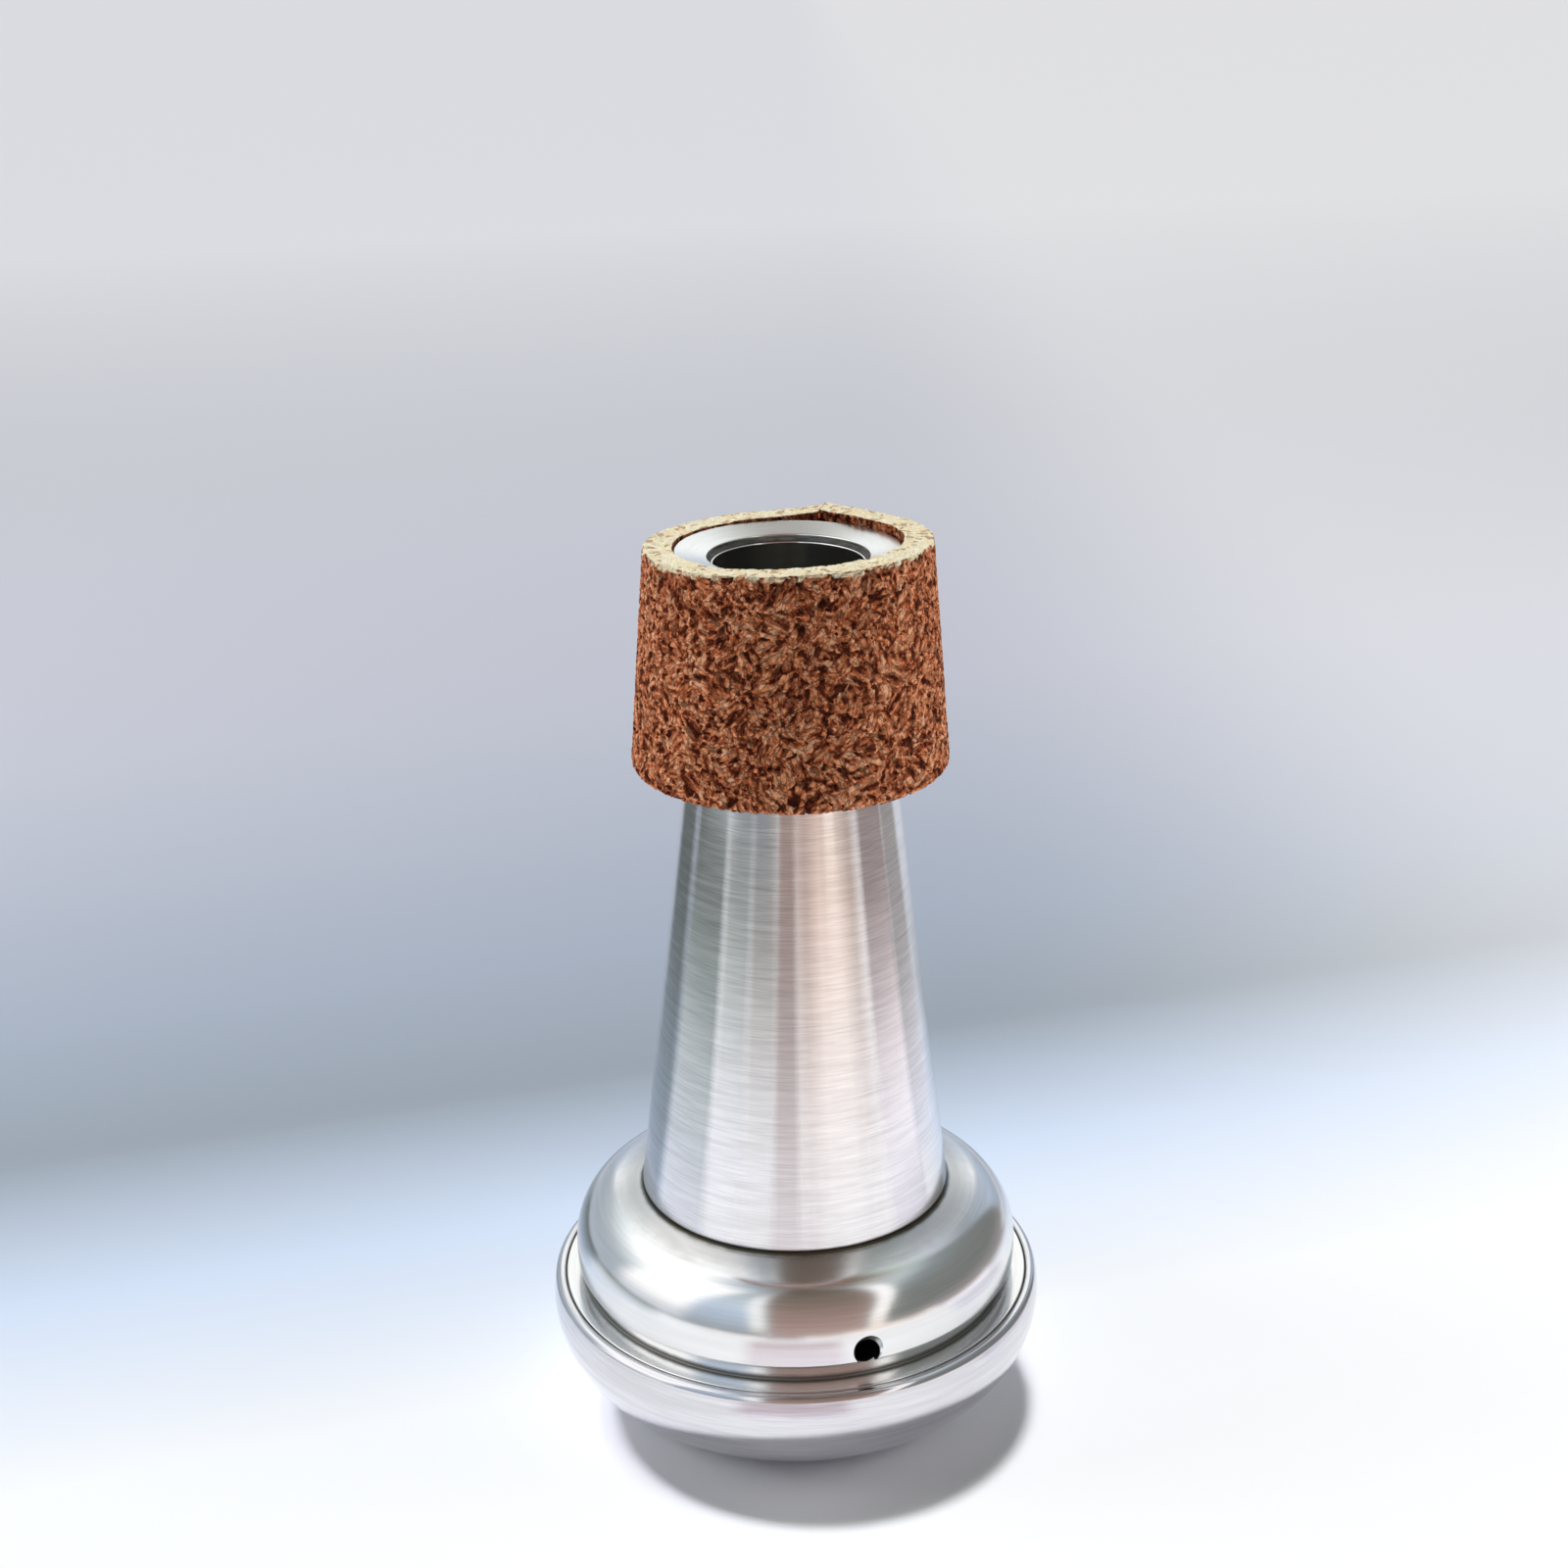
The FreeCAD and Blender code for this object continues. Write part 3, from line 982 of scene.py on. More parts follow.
@dataclass
class Cone(TurnedPart):
    """Brushed tapered tube from the crease up to the mouth."""

    piece, slot, node = "cone_brushed_tube", Slot.CONE, "cone_shell"
    dome: ShoulderDome
    length: float = 77.08
    wall: float = 0.806
    mouth_radius: float = 9.2
    joint_thickness: float = 0.16

    @property
    def crease_height(self) -> float:
        """Height of the cone's lower end."""
        return self.dome.cone_seat_height + self.joint_thickness

    @property
    def mouth_height(self) -> float:
        """Height of the cone's upper end."""
        return self.crease_height + self.length

    def outline(self) -> Outline:
        """Half section, up the outside and down the inside.

        Returns:
            The closed outline.
        """
        low, high, foot = self.crease_height, self.mouth_height, self.dome.crease_radius
        outside = Outline().path((foot, low, 0.12), (self.mouth_radius, high, 0.1))
        return outside.path((self.mouth_radius - self.wall, high, 0.12), (foot - self.wall, low))


@dataclass
class Head(TurnedPart):
    """Sleeve that carries the cork, and the end plate, which dishes down to the mouth."""

    piece, slot, node = "plate_end_ring", Slot.PLATE, "end_plate"
    cone: Cone
    step: float = 3.66
    spread: float = 1.87
    length: float = 23.4
    wall: float = 0.8
    plate_thickness: float = 0.7
    plate_lap: float = 0.1
    plate_dish: float = 0.8

    def sleeve_outer(self, height: Union[float, Array]) -> Union[float, Array]:
        """Outer radius of the sleeve at a height."""
        top = self.cone.mouth_radius + self.step
        return top + self.spread / self.length * (self.cone.mouth_height - height)

    def outline(self) -> Outline:
        """Half section of the plate.

        Returns:
            The closed outline.
        """
        low, mouth = self.cone.mouth_height, self.cone.mouth_radius
        high, rim = low + self.plate_thickness, low + self.plate_dish
        inner, outer = mouth - self.plate_lap, self.sleeve_outer(rim)
        under = Outline().path((inner, low), (mouth, low), (outer - self.wall, rim), (outer, rim))
        return under.path((outer, high + self.plate_dish, 0.18), (inner, high, 0.12))


@dataclass
class JointBeads:
    """Dark compound in the three joints that show, each with a slightly hollow outer face."""

    cup: BaseCup
    dome: ShoulderDome
    cone: Cone
    rim_drop: float = 0.22
    rim_hollow: float = 0.27
    rim_hollow_inset: float = 0.07
    neck_inset: float = 0.1
    neck_hollow: float = 0.14
    mouth_inset: float = 0.1
    mouth_width: float = 0.5
    mouth_lip: float = 0.3
    mouth_foot: float = 0.09
    mouth_hollow: float = 0.26
    mouth_hollow_rise: float = 0.17

    def build(self, paste: DullPaste) -> None:
        """Builds and dresses the beads.

        Args:
            paste: Their finish.
        """
        material = paste.material()
        rim, flange, land = self.cup.rim_height, self.dome.flange_radius, self.cup.rim_land_radius
        low, face = rim - self.dome.flange_thickness, rim - self.rim_drop
        hollow = (flange + self.rim_hollow_inset, rim - self.rim_hollow)
        rim_corners = (flange, low), (land, low), (land, face), hollow, (flange, face)
        seat, crease, neck = self.dome.cone_seat_height, self.cone.crease_height, self.dome.crease_radius
        inner, edge = neck - self.cone.wall, neck - self.neck_inset
        hollow = (neck - self.neck_hollow, (seat + crease) / 2)
        neck_corners = (inner, seat), (edge, seat), hollow, (edge, crease), (inner, crease)
        top, outer = self.cone.mouth_height, self.cone.mouth_radius - self.mouth_inset
        inner = outer - self.mouth_width
        lip, foot = (outer, top + self.mouth_lip), (inner, top + self.mouth_foot, 0.03)
        hollow = (outer - self.mouth_hollow, top + self.mouth_hollow_rise, 0.2)
        mouth_corners = (inner, top), (outer, top), lip, hollow, foot
        for piece, node, corners in (
            ("bead_rim_joint", "rim_joint_bead", rim_corners),
            ("bead_neck_joint", "cone_joint_bead", neck_corners),
            ("bead_mouth_ring", "mouth_bead", mouth_corners),
        ):
            dress(lathe(piece, Outline(rounding=0.0).path(*corners)), material, node)


@dataclass(frozen=True)
class Granules:
    """Random cells in space, stretched in a direction that differs from patch to patch.

    The stretch is the share of the distance that is taken out along the direction.
    """

    size: float = 0.72
    patch: float = 2.4
    stretch: float = 0.55
    gap_width: float = 0.32

    @staticmethod
    def _random(cells: Array, channel: int) -> Array:
        """Random numbers of whole-number cells, from mixed integer products.

        Args:
            cells: Rows of three whole numbers.
            channel: Which set of numbers.

        Returns:
            Numbers between 0 and 1.
        """
        primes = np.array([73856093, 19349663, 83492791], np.uint64)
        mixed = (cells.astype(np.int64).astype(np.uint64) * primes).sum(-1, dtype=np.uint64)
        mixed += np.uint64(channel * 2654435761 + 97)
        for _ in range(2):
            mixed ^= mixed >> np.uint64(31)
            mixed *= np.uint64(0x9E3779B97F4A7C15)
        mixed ^= mixed >> np.uint64(29)
        return (mixed >> np.uint64(40)).astype(float) / float(1 << 24)

    def _nearest(self, points: Array) -> tuple[Array, Array, Array]:
        """Distances to the nearest and second nearest seed, and the nearest one's cell.

        Args:
            points: Rows of three numbers, in cells.

        Returns:
            First distance, second distance, cell.
        """
        base = np.floor(points).astype(np.int64)
        first = second = np.full(len(points), 9.0)
        owner = base
        for offset in np.ndindex(3, 3, 3):
            cell = base + (np.array(offset) - 1)
            seed = cell + np.stack([self._random(cell, channel) for channel in range(3)], -1)
            away = np.linalg.norm(points - seed, axis=1)
            nearer = away < first
            second = np.where(nearer, first, np.minimum(second, away))
            owner = np.where(nearer[:, None], cell, owner)
            first = np.where(nearer, away, first)
        return first, second, owner

    def read(self, points: Array) -> tuple[Array, Array]:
        """Relief of the granules at points.

        Args:
            points: Rows of x, y and z.

        Returns:
            How far each point is into a gap, from 0 to 1, and a random number of its granule.
        """
        _, _, patch = self._nearest(points / self.patch)
        lie = np.stack([self._random(patch, channel) for channel in (3, 4, 5)], -1) - 0.5
        lie /= np.linalg.norm(lie, axis=1, keepdims=True) + 1e-9
        along = (points * lie).sum(1, keepdims=True)
        first, second, owner = self._nearest((points - self.stretch * along * lie) / self.size)
        gap = 1 - np.clip((second - first) / self.gap_width, 0, 1)
        return gap * gap * (3 - 2 * gap), self._random(owner, 6)


@dataclass
class CorkCollar:
    """Cork sheet bent round the sleeve, its ends meeting in a point at the back.

    The sheet's section has four rounded corners, and its top a hand-cut wave, each part of
    which is a height, a number of periods and a shift. One end stands proud of the other.
    """

    head: Head
    thickness: float = 3.4
    cement: float = 0.15
    bottom: float = 79.42
    top: float = 105.42
    top_drop: float = 0.13
    rise_to_right: float = 1.6
    fall_to_back: float = 1.0
    waves: tuple[tuple[float, float, float], ...] = ((0.05, 3, 0.7), (0.035, 7, 2.1), (0.025, 13, 0.0))
    seam_azimuth: float = 166.0
    bend: float = 29.0
    seam_gap: float = 0.03
    seam_rise: float = 0.28
    seam_rise_reach: float = 0.35
    seam_push: float = 0.22
    seam_push_reach: float = 0.22
    corner: float = 1.0
    top_corner: float = 0.22
    top_inner_corner: float = 0.15
    inner_corner: float = 0.3
    relief: float = 0.2
    pits: float = 0.45
    pit_share: float = 0.045
    pit_blend: float = 0.02
    tone_relief: float = 0.05
    top_smoothing: float = 0.55
    crevice_start: float = 0.45
    crevice_gain: float = 1.5
    dark_share: float = 0.55
    dark_gain: float = 6.0
    ragged_edge: float = 0.9
    cut_blend: float = 0.12
    cut_from: float = 0.9
    top_from: float = 0.999
    skin: float = 0.02
    rows_up: int = 124
    rows_over: int = 15
    rows_down: int = 12
    rows_under: int = 8
    corner_rows: int = 6
    columns: int = 500

    def _section(self) -> tuple[Array, Array, Array]:
        """Cross-section of the sheet as a closed loop with rounded corners.

        It is walked up the outer face, in over the top, down the inner face and out under
        the bottom. Each point's height is its share of the sheet's height plus its lift.

        Returns:
            Depth from the outer face, share from 0 at the bottom to 1 at the top, and lift.
        """
        turn = np.radians(np.linspace(0.0, 90.0, self.corner_rows))
        sin, cos, none = np.sin(turn), np.cos(turn), 0 * turn
        t, c, a, b, d = self.thickness, self.corner, self.top_corner, self.top_inner_corner, self.inner_corner
        up, down = between(0.0, 1.0, self.rows_up), between(1.0, 0.0, self.rows_down)
        over, under = between(a, t - b, self.rows_over), between(t - d, c, self.rows_under)
        stretches = (
            (c - c * sin, none, c - c * cos),
            (0 * up, up, c * (1 - up) - a * up),
            (a - a * cos, none + 1, a * sin - a),
            (over, 0 * over + 1, 0 * over),
            (t - b + b * sin, none + 1, b * cos - b),
            (0 * down + t, down, d * (1 - down) - b * down),
            (t - d + d * cos, none, d - d * sin),
            (under, 0 * under, 0 * under),
        )
        depth, share, lift = (np.concatenate(parts) for parts in zip(*stretches))
        return depth, share, lift

    def _positions(self) -> tuple[Array, Array, Array]:
        """Points of the bent sheet before its relief.

        At an angle d from the seam, the sheet's radius is the round one over the cosine of
        (bend - d) where d is under the bend, and the round one elsewhere. The top is a plane
        that climbs to the right and falls to the back, with the wave.

        Returns:
            Points (section, column, 3), and depth and height share of each section point.
        """
        depth, share, lift = self._section()
        ease = np.linspace(0.0, 1.0, self.columns)
        round_top = self.head.sleeve_outer(self.top)
        gap = math.degrees(self.seam_gap / 2 / round_top)
        turn = np.radians(self.seam_azimuth + gap + ease * (360 - 2 * gap))
        from_seam = np.minimum(ease, 1 - ease) * (2 * math.pi)
        proud = ease > 0.5
        stretch = 1 / np.cos(np.clip(math.radians(self.bend) - from_seam, 0, None))
        across, back = np.sin(turn), -np.cos(turn)
        reach = (round_top + self.thickness) * stretch
        climb, fall = math.tan(math.radians(self.rise_to_right)), math.tan(math.radians(self.fall_to_back))
        wave = sum(height * np.sin(periods * turn + shift) for height, periods, shift in self.waves)
        raised = self.seam_rise * np.exp(-from_seam / self.seam_rise_reach) * proud
        high = self.top - self.top_drop + (reach * across * climb - reach * back * fall) + wave + raised
        z = self.bottom + share[:, None] * (high - self.bottom) + lift[:, None]
        sheet = self.head.sleeve_outer(z) + self.cement + self.thickness - depth[:, None]
        outward = self.seam_push * np.exp(-from_seam / self.seam_push_reach) * proud
        radius = (sheet + outward) * stretch
        return np.stack([radius * across, radius * back, z], -1), depth, share

    def build(self, cork: CorkGrain) -> None:
        """Builds the sheet with its granular relief and dresses it.

        The relief moves a point inwards along the grid's normal, by the gap between the
        granules times the relief and by the pits where the granule's number is low.

        Args:
            cork: Its finish.
        """
        points, depth, share = self._positions()
        rows, columns = points.shape[:2]
        normal = np.cross(np.gradient(points, axis=1), np.roll(points, -1, 0) - np.roll(points, 1, 0))
        normal /= np.linalg.norm(normal, axis=-1, keepdims=True) + 1e-12
        gap, chance = (part.reshape(rows, columns) for part in Granules().read(points.reshape(-1, 3)))
        pit = np.clip((self.pit_share - chance) / self.pit_blend, 0, 1) * (1 - gap)
        top_face = ((share > self.top_from) & (depth > self.cut_blend))[:, None]
        show = 1 - self.top_smoothing * top_face
        sink = show * (self.relief * gap + self.pits * pit + self.tone_relief * (1 - chance))
        points = points - normal * sink[..., None]
        ring = np.arange(rows)[None] * columns
        ends = [ring, ring[:, ::-1] + columns - 1]
        piece = new_piece("cork_wrapped_sheet", points, grid_faces(rows, columns, True, False), ends)
        deep = np.clip((gap - self.crevice_start) * self.crevice_gain, 0, 1)
        dark = np.clip((self.dark_share - chance) * self.dark_gain, 0, 1)
        store(piece.data, "crevice", np.clip(deep * dark + pit, 0, 1))
        # The top face's pale colour, partly painted light, spills raggedly a little over the outer face's top
        # edge.
        below = (1 - share[:, None]) * (self.top - self.bottom)
        ragged = depth[:, None] - below + (chance - 0.5) * self.ragged_edge
        outside = (share > self.cut_from) & (depth < self.thickness - self.skin)
        cut = outside[:, None] * np.clip((ragged + self.cut_blend) / self.cut_blend, 0, 1)
        cut[:, [0, -1]] = 0.0
        store(piece.data, "cut", cut)
        dress(piece, cork.material(), "cork_collar")


# Studio


@dataclass(frozen=True)
class Card:
    """Curved card round the object that only reflections see.

    Each stop is an elevation, seen from the shoulder, and the colour there. Where the card is
    flat it lies at its distance above the floor, and a stop is a radius from the axis.
    """

    name: str
    first: float
    last: float
    distance: float
    stops: Stops
    lean_first: float = 0.0
    lean_last: float = 0.0
    soft: float = 2.0
    flat: bool = False
    eye: float = 25.0
    lowest: float = 0.4
    full_lean: float = 60.0
    rows: int = 49
    columns: int = 25

    def build(self) -> None:
        """Builds the card.

        The point at (i, j) is (d sin a, -d cos a, h): the distance d and height h follow the
        stops, and the azimuth a runs between the two sides, each of which leans by its own
        angle times the square of the elevation's share of the full lean. Its colour runs
        evenly from stop to stop, and it grows clear over the soft angle at each side.
        """
        places, *tones = np.array(self.stops).T
        lift = np.linspace(places[0], places[-1], self.rows)[:, None]
        rise = np.radians(0.0 * lift if self.flat else lift)
        level = lift if self.flat else self.distance * np.cos(rise)
        high = np.maximum(self.eye + self.distance * np.sin(rise), self.lowest)
        height = self.distance + 0.0 * lift if self.flat else high
        share = np.clip(rise / math.radians(self.full_lean), 0.0, None) ** 2
        first, last = self.first + self.lean_first * share, self.last + self.lean_last * share
        edge = self.soft / (self.last - self.first)
        across = np.concatenate([[0.0], np.linspace(edge, 1.0 - edge, self.columns - 2), [1.0]])
        points = ring_points(level, height, np.radians(first + (last - first) * across))
        card = new_piece(self.name, points, grid_faces(self.rows, self.columns, False, False))
        shades = [np.interp(lift, places, tone) for tone in (*tones, 0 * places + 1)]
        colours = np.repeat(np.concatenate(shades, 1), self.columns, axis=0)
        layer = card.data.attributes.new("tone", "FLOAT_COLOR", "POINT")
        layer.data.foreach_set("color", colours.astype(np.float32).ravel())
        store(card.data, "cover", np.tile((across > 0.0) & (across < 1.0), self.rows))
        material, bench = new_material(self.name)
        tone = bench.out("ShaderNodeAttribute", "Color", {"attribute_name": "tone"})
        glow = bench.out("ShaderNodeEmission", 0, None, {"Color": tone})
        ends = {0: bench.attribute("cover"), 1: bench.out("ShaderNodeBsdfTransparent", 0), 2: glow}
        bench.surface(bench.out("ShaderNodeMixShader", 0, None, ends))
        card.data.materials.append(material)
        card.visible_camera = card.visible_diffuse = card.visible_shadow = False
        card.visible_transmission = card.visible_volume_scatter = False


WINDOW, CEILING, DUSK = (1.3, 1.3, 1.3), (0.2, 0.16, 0.13), (0.1, 0.083, 0.06)
# Far ones, which the dome mirrors
FAR_CARDS = (
    Card("card_brown_middle", -12.5, 33.0, 600.0, (
        (-3.0, 0.5, 0.37, 0.35), (2.0, 0.46, 0.33, 0.3), (26.0, 0.38, 0.26, 0.23),
        (50.0, 0.27, 0.2, 0.165), (70.0, *CEILING), (89.7, *DUSK),
    ), -9.5, 27.0),
    Card("card_gap_left", -23.5, -12.5, 605.0, (
        (-3.0, 0.36, 0.35, 0.34), (6.0, 0.75, 0.75, 0.73), (15.0, 1.0, 1.0, 0.98),
        (64.0, 1.05, 1.08, 1.1), (78.0, 0.4, 0.4, 0.4), (89.7, *CEILING),
    ), -13.0, -8.0, soft=3.5),
    Card("card_blue_left", -68.0, -17.0, 615.0, (
        (-3.0, 0.3, 0.34, 0.38), (8.0, 0.42, 0.48, 0.56), (30.0, 0.52, 0.62, 0.76),
        (50.0, 0.6, 0.7, 0.8), (76.0, 0.4, 0.45, 0.45), (89.7, *CEILING),
    ), -4.0, -13.0),
    Card("card_window_left", -102.0, -51.0, 608.0, (
        (-3.0, 0.7, 0.74, 0.82), (6.0, 0.78, 0.81, 0.87), (15.0, 1.05, 1.05, 1.05), (26.0, *WINDOW),
        (66.0, *WINDOW), (78.0, 0.45, 0.53, 0.6), (89.7, *CEILING),
    ), soft=9.0),
    Card("card_window_behind", -158.0, -95.0, 612.0, (
        (-3.0, 0.5, 0.55, 0.62), (12.0, 0.42, 0.47, 0.53), (26.0, 0.5, 0.56, 0.6), (35.0, 0.8, 0.87, 0.9),
        (43.0, *WINDOW), (64.0, *WINDOW), (76.0, 0.45, 0.53, 0.6), (89.7, *CEILING),
    )),
    Card("card_gap_right", 33.0, 43.0, 595.0, (
        (-3.0, 0.95, 0.86, 0.8), (4.0, 1.05, 0.95, 0.88), (20.0, 1.2, 1.15, 1.1), (62.0, *WINDOW),
        (74.0, 0.5, 0.5, 0.5),
    ), 27.0, 36.0),
    Card("card_olive_right", 42.0, 138.0, 610.0, (
        (-3.0, 0.33, 0.31, 0.31), (12.0, 0.2, 0.21, 0.2), (38.0, 0.22, 0.235, 0.23), (50.0, 0.27, 0.3, 0.31),
        (60.0, 0.55, 0.62, 0.63), (68.0, 0.5, 0.5, 0.48), (78.0, *CEILING), (89.7, *DUSK),
    ), 30.0, 0.0),
    Card("card_pale_right", 138.0, 158.0, 605.0, (
        (-3.0, 0.37, 0.43, 0.53), (14.0, 0.5, 0.58, 0.7), (38.0, 0.34, 0.38, 0.41), (50.0, 0.62, 0.66, 0.73),
        (60.0, 0.62, 0.7, 0.66), (70.0, *CEILING), (89.7, *CEILING),
    ), -12.0, 0.0),
    Card("card_behind", 156.0, 204.0, 600.0, (
        (-3.0, 0.4, 0.46, 0.56), (15.0, 0.55, 0.62, 0.74), (22.0, 1.15, 1.17, 1.15),
        (38.0, 1.15, 1.17, 1.15), (46.0, *CEILING), (89.7, *DUSK),
    )),
)
# Flat ones, which the brushed cone and cup mirror
TABLE_CARDS = (
    Card("card_table_behind_left", -152.0, -104.0, 0.4, (
        (46.0, 0.62, 0.66, 0.76), (60.0, 0.5, 0.56, 0.67), (76.0, 0.34, 0.41, 0.51),
        (110.0, 0.26, 0.32, 0.37), (200.0, 0.14, 0.16, 0.16), (590.0, 0.12, 0.13, 0.12),
    ), soft=12.0, flat=True),
    Card("card_table_left", -112.0, -60.0, 0.44, (
        (74.0, 0.93, 0.94, 1.02), (92.0, 0.75, 0.8, 0.9), (125.0, 0.62, 0.68, 0.72),
        (160.0, 0.58, 0.65, 0.67), (215.0, 0.27, 0.31, 0.3), (300.0, 0.12, 0.14, 0.12),
        (590.0, 0.1, 0.12, 0.1),
    ), soft=9.0, flat=True),
    Card("card_table_front_left", -68.0, -34.0, 0.48, (
        (105.0, 1.1, 1.1, 1.2), (150.0, 0.98, 1.0, 1.05), (200.0, 0.78, 0.82, 0.83),
        (300.0, 0.33, 0.35, 0.31), (400.0, 0.15, 0.165, 0.14), (590.0, 0.12, 0.135, 0.11),
    ), soft=8.0, flat=True),
    Card("card_table_grey", -42.0, -10.0, 0.52, (
        (120.0, 1.1, 1.1, 1.18), (170.0, 0.92, 0.92, 0.93), (260.0, 0.58, 0.56, 0.52),
        (380.0, 0.12, 0.105, 0.08), (590.0, 0.04, 0.036, 0.025),
    ), soft=8.0, flat=True),
    Card("card_table_tan", -6.0, 74.0, 0.56, (
        (110.0, 1.05, 1.03, 1.08), (150.0, 1.02, 0.98, 0.98), (220.0, 0.86, 0.76, 0.71),
        (330.0, 0.62, 0.48, 0.41), (590.0, 0.56, 0.41, 0.33),
    ), soft=16.0, flat=True),
    Card("card_table_brown", -17.0, 5.0, 0.6, (
        (100.0, 0.93, 0.9, 0.94), (150.0, 0.74, 0.69, 0.7), (260.0, 0.44, 0.37, 0.35),
        (400.0, 0.23, 0.165, 0.135), (590.0, 0.2, 0.14, 0.11),
    ), soft=5.0, flat=True),
    Card("card_table_cream", 14.0, 56.0, 0.64, (
        (110.0, 1.05, 1.03, 1.06), (150.0, 1.12, 1.08, 1.07), (260.0, 1.1, 0.96, 0.88),
        (400.0, 1.0, 0.76, 0.62), (590.0, 0.95, 0.7, 0.56),
    ), soft=11.0, flat=True),
    Card("card_table_mauve", 66.0, 106.0, 0.68, (
        (46.0, 0.95, 0.95, 1.0), (60.0, 0.72, 0.71, 0.8), (84.0, 0.82, 0.81, 0.9), (110.0, 1.14, 1.12, 1.2),
        (170.0, 0.98, 0.9, 0.93), (230.0, 0.46, 0.38, 0.38), (320.0, 0.3, 0.235, 0.225),
        (590.0, 0.27, 0.215, 0.2),
    ), soft=6.0, flat=True),
    Card("card_table_pale", 98.0, 132.0, 0.72, (
        (90.0, 0.84, 0.89, 1.04), (130.0, 0.74, 0.73, 0.78), (200.0, 0.38, 0.36, 0.36),
        (590.0, 0.3, 0.275, 0.265),
    ), soft=6.0, flat=True),
    Card("card_table_middle", -22.0, 20.0, 0.76, (
        (46.0, 0.97, 0.92, 1.0), (58.0, 0.7, 0.6, 0.64), (84.0, 0.74, 0.66, 0.68), (96.0, 0.95, 0.92, 0.93),
    ), soft=6.0, flat=True),
)


@dataclass(frozen=True)
class SideLamp:
    """Square lamp that faces the object and that reflections don't see."""

    name: str
    azimuth: float
    radiance: float
    elevation: float = 12.0
    distance: float = 500.0
    size: float = 300.0
    aim: float = 40.0

    def build(self) -> None:
        """Builds the lamp; its power is the radiance times pi times its area."""
        lamp = bpy.data.lights.new(self.name, "AREA")
        side = self.size * MM
        lamp.shape, lamp.size, lamp.size_y = "RECTANGLE", side, side
        lamp.energy = self.radiance * math.pi * side * side
        turn, lift = math.radians(self.azimuth), math.radians(self.elevation)
        level, height = self.distance * math.cos(lift), self.aim + self.distance * math.sin(lift)
        made = bpy.data.objects.new(self.name, lamp)
        made.location = ring_points(level, height, turn) * MM
        made.rotation_euler = (math.pi / 2 - lift, 0.0, turn)
        made.visible_glossy = False
        bpy.context.scene.collection.objects.link(made)


@dataclass(frozen=True)
class SkyLamp:
    """Parallel lamp whose shadow comes from a disc inside the dome alone."""

    name: str
    strength: float
    spread: float
    azimuth: float
    elevation: float
    colour: Colour
    disc_radius: float
    disc_height: float = 17.0

    def _disc(self) -> bpy.types.Collection:
        """Builds the disc.

        Returns:
            The collection that holds it.
        """
        name = f"{self.name}_flag"
        outline = Outline(closed=False).path((0.0, self.disc_height), (self.disc_radius, self.disc_height))
        disc = lathe(name, outline)
        material, bench = new_material("flag_cloth")
        bench.surface(bench.out("ShaderNodeBsdfDiffuse", 0, None, {"Color": (0.1, 0.1, 0.1, 1.0)}))
        disc.data.materials.append(material)
        disc.visible_camera = disc.visible_diffuse = disc.visible_glossy = False
        disc.visible_transmission = disc.visible_volume_scatter = False
        casting = bpy.data.collections.new(name)
        casting.objects.link(disc)
        return casting

    def build(self) -> None:
        """Builds the lamp and its disc."""
        lamp = bpy.data.lights.new(self.name, "SUN")
        lamp.energy, lamp.angle, lamp.color = self.strength, math.radians(self.spread), self.colour
        made = bpy.data.objects.new(self.name, lamp)
        made.rotation_euler = (math.radians(90 - self.elevation), 0.0, math.radians(self.azimuth))
        made.visible_glossy = False
        bpy.context.scene.collection.objects.link(made)
        made.light_linking.blocker_collection = self._disc()


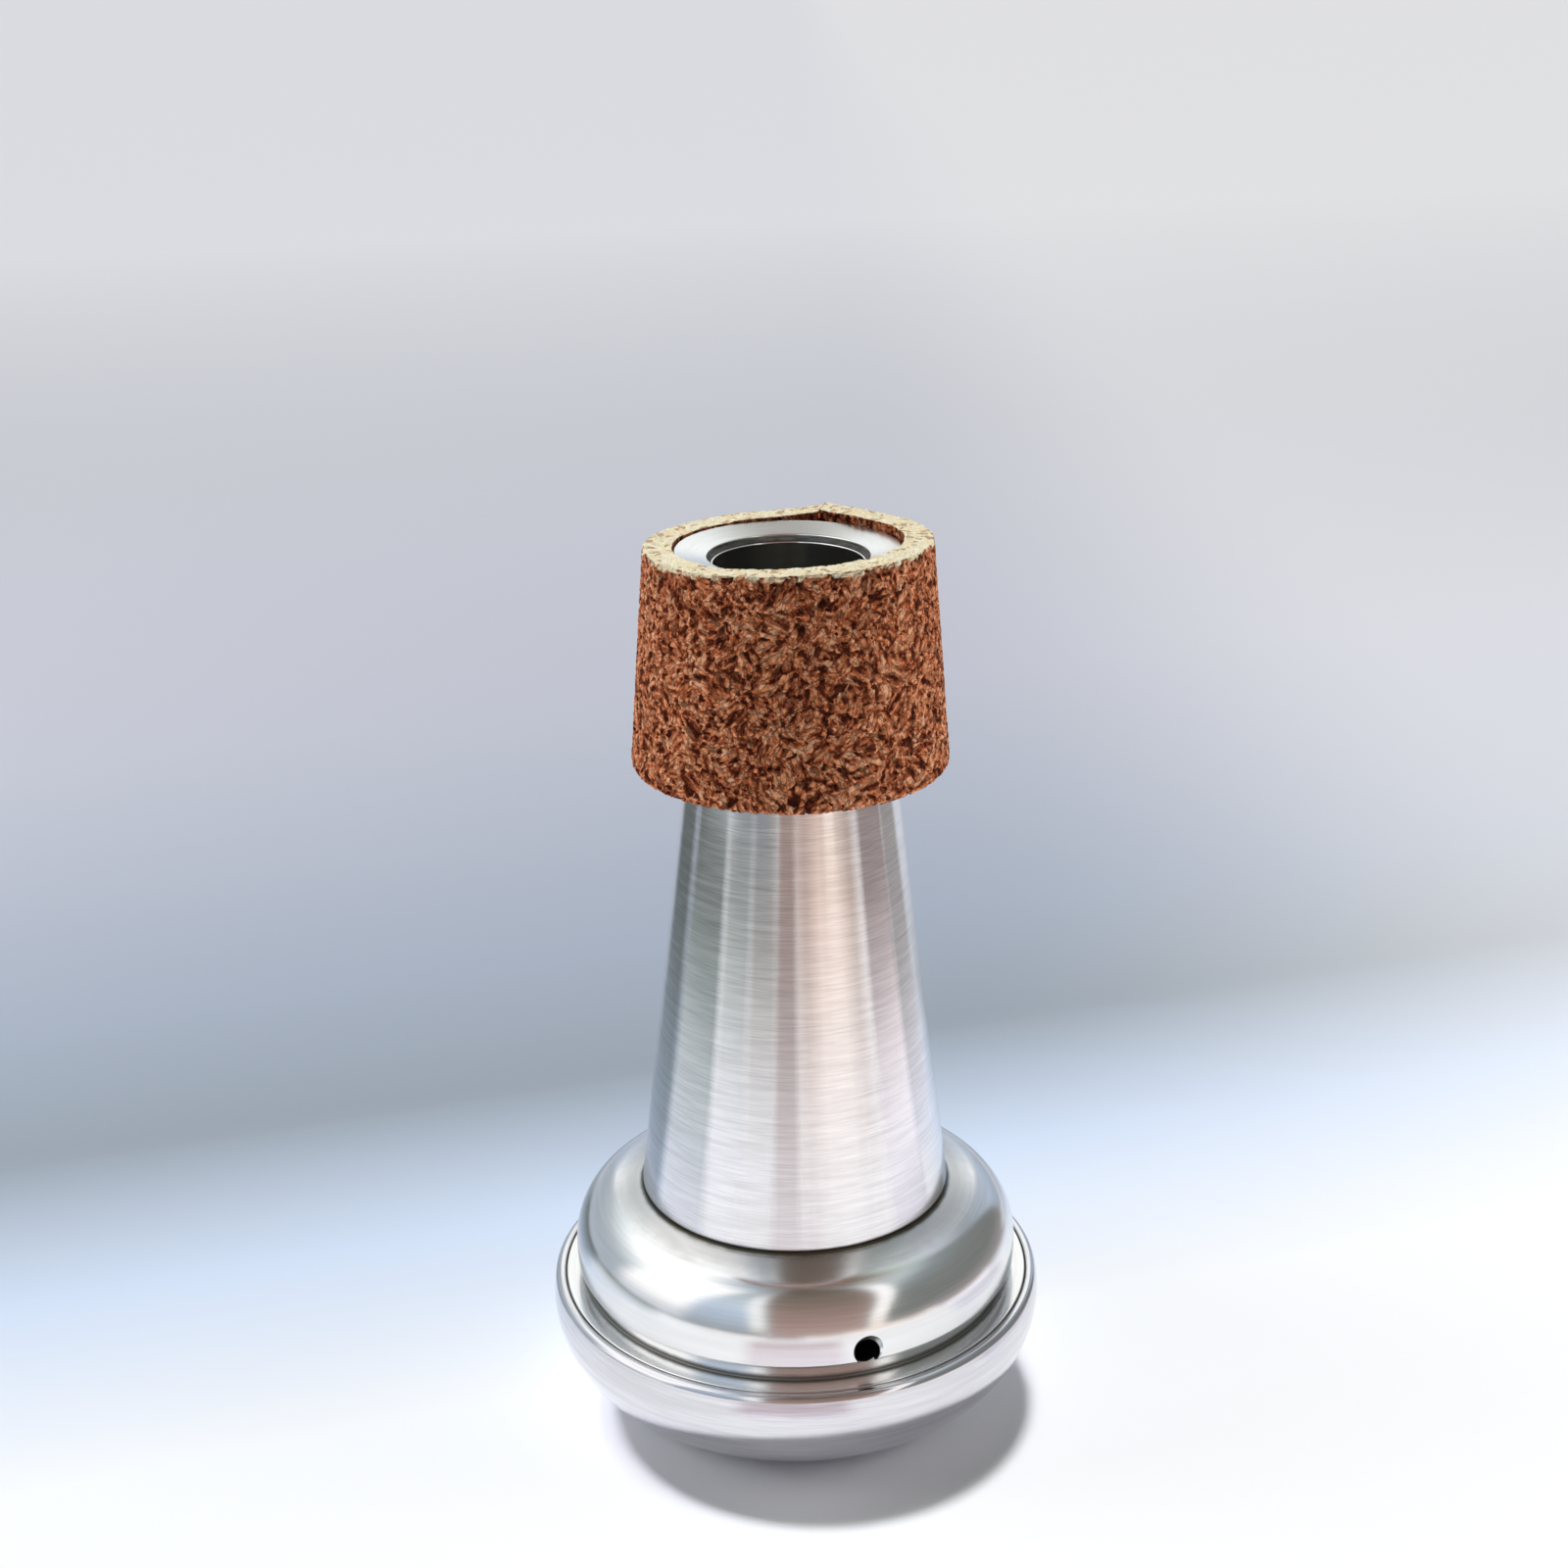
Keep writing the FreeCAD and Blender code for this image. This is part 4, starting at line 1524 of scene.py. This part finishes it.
@dataclass
class Studio:
    """Floor, lights, reflected cards, world and camera."""

    camera_place: tuple[float, float, float] = (-0.78, -246.98, 168.51)
    camera_pitch: float = 20.425
    camera_roll: float = -0.65
    lens: float = 52.55
    sensor: float = 36.0
    clip: tuple[float, float] = (10.0, 60000.0)
    floor_radii: tuple[float, ...] = (20.0, 60.0, 120.0, 250.0, 600.0, 1500.0, 5000.0, 20000.0)
    floor_columns: int = 96
    dim: Colour = (0.07, 0.071, 0.077)
    mirrored: Colour = (0.4, 0.4, 0.42)
    far: Colour = (0.85, 0.86, 0.9)
    lamps: tuple[Union[SkyLamp, SideLamp], ...] = (
        SkyLamp("lamp_key", 1.99, 5.0, -161.7, 59.8, (0.92, 0.885, 1.0), 25.5),
        SkyLamp("lamp_second", 1.0, 9.0, -164.6, 64.0, (0.92, 1.0, 0.76), 27.0),
        SideLamp("lamp_side_left", -95.0, 4.1),
        SideLamp("lamp_side_right", 95.0, 3.9),
    )

    def floor(self) -> None:
        """Builds the round floor sheet."""
        count, radii = self.floor_columns, np.array(self.floor_radii)[:, None]
        rings = ring_points(radii, 0 * radii, even_azimuths(count)).reshape(-1, 3)
        j = np.arange(count)
        fan = np.stack([np.full(count, len(rings)), j, (j + 1) % count], 1)
        faces = grid_faces(len(radii), count, False, True)[:, ::-1]
        sheet = new_piece("floor_sheet", np.concatenate([rings, np.zeros((1, 3))]), faces, [fan])
        sheet.data.materials.append(PaleFloor().material())

    def world(self) -> None:
        """Sets the world: dim light, and the floor's far colour to the camera."""
        made = bpy.data.worlds.new("studio_world")
        bpy.context.scene.world = made
        made.use_nodes = True
        bench = Bench(made.node_tree)
        path = bench.node("ShaderNodeLightPath")
        seen, mirrored = (Wire(bench, path.outputs[f"Is {kind} Ray"]) for kind in ("Camera", "Glossy"))
        colour = bench.blend(seen, bench.blend(mirrored, self.dim, self.mirrored), self.far)
        glow = bench.out("ShaderNodeBackground", 0, None, {"Color": colour, "Strength": 1.0})
        bench.surface(glow, "ShaderNodeOutputWorld")

    def camera(self) -> None:
        """Places the camera as the photograph's."""
        lens = bpy.data.cameras.new("studio_camera")
        lens.lens, lens.sensor_width = self.lens, self.sensor
        lens.clip_start, lens.clip_end = (end * MM for end in self.clip)
        made = bpy.data.objects.new("studio_camera", lens)
        place = Matrix.Translation([part * MM for part in self.camera_place])
        tilt = Matrix.Rotation(math.radians(90 - self.camera_pitch), 4, "X")
        made.matrix_world = place @ tilt @ Matrix.Rotation(math.radians(self.camera_roll), 4, "Z")
        bpy.context.scene.collection.objects.link(made)
        bpy.context.scene.camera = made

    def build(self) -> None:
        """Builds the whole studio."""
        self.floor()
        for thing in (*FAR_CARDS, *TABLE_CARDS, *self.lamps):
            thing.build()
        self.world()
        self.camera()
        bpy.context.scene.view_settings.view_transform = "Standard"


def main() -> None:
    logging.basicConfig(level=logging.INFO, format="%(message)s")
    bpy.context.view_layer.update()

    cup = BaseCup()
    dome = ShoulderDome(cup)
    cone = Cone(dome)
    head = Head(cone)
    neck, seat, rim = dome.crease_radius, dome.cone_seat_height, cup.rim_height
    # Painted shade rings: the dome's crease, the crown round it and the groove under its edge, the cup's rim
    # joint, and the cone's foot at the crease.
    dome_shade_rings = (neck, seat, 0.8, 0.7), (neck, seat - 0.6, 4.2, 0.3), (dome.groove_radius, rim, 0.9, 0.75)
    cup_metal = TurnedMetal(
        "brushed_cup", (0.78, 0.77, 0.8), roughness=0.14, anisotropy=0.6, line_pitch=0.14, line_reach=5.0,
        line_depth=0.003, contrast=0.16, smudge=0.04, shade_rings=((cup.rim_land_radius, rim, 0.3, 0.5),),
    )
    dome_metal = TurnedMetal(
        "polished_dome", (0.87, 0.87, 0.87), roughness=0.17, anisotropy=0.5, line_pitch=0.25, line_reach=3.0,
        line_depth=0.0016, contrast=0.06, smudge=0.05, shade_rings=dome_shade_rings,
    )
    cone_metal = TurnedMetal(
        "brushed_cone", (0.89, 0.88, 0.89), roughness=0.155, anisotropy=0.85, line_pitch=0.13, line_reach=4.2,
        line_depth=0.0012, contrast=0.17, smudge=0.05, shade_rings=((neck, seat, 0.55, 0.6),),
    )
    plate_metal = TurnedMetal(
        "bright_plate", (0.7, 0.72, 0.75), roughness=0.24, anisotropy=0.6, line_pitch=0.18, line_reach=4.0,
        line_depth=0.003, contrast=0.12, smudge=0.05,
    )
    sleeve_metal = TurnedMetal(
        "plain_metal", (0.78, 0.78, 0.79), roughness=0.4, anisotropy=0.4, line_pitch=0.3, line_reach=3.0,
        line_depth=0.004, contrast=0.1, smudge=0.1,
    )
    compound = DullPaste("joint_compound", (0.03, 0.028, 0.026), (0.09, 0.085, 0.08), lump=0.03)
    cement = DullPaste("cement", (0.16, 0.09, 0.05), (0.3, 0.19, 0.11), lump=0.05)

    for part, metal in ((cup, cup_metal), (dome, dome_metal), (cone, cone_metal), (head, plate_metal)):
        part.build(metal)
    JointBeads(cup, dome, cone).build(compound)
    CorkCollar(head).build(CorkGrain("cork"))
    kept = {"head_sleeve": sleeve_metal, "sleeve_lip_bead": compound, "cork_cement": cement}
    for name, finish in kept.items():
        dress_node(name, finish.material())
    Studio().build()


if __name__ == "__main__":
    main()
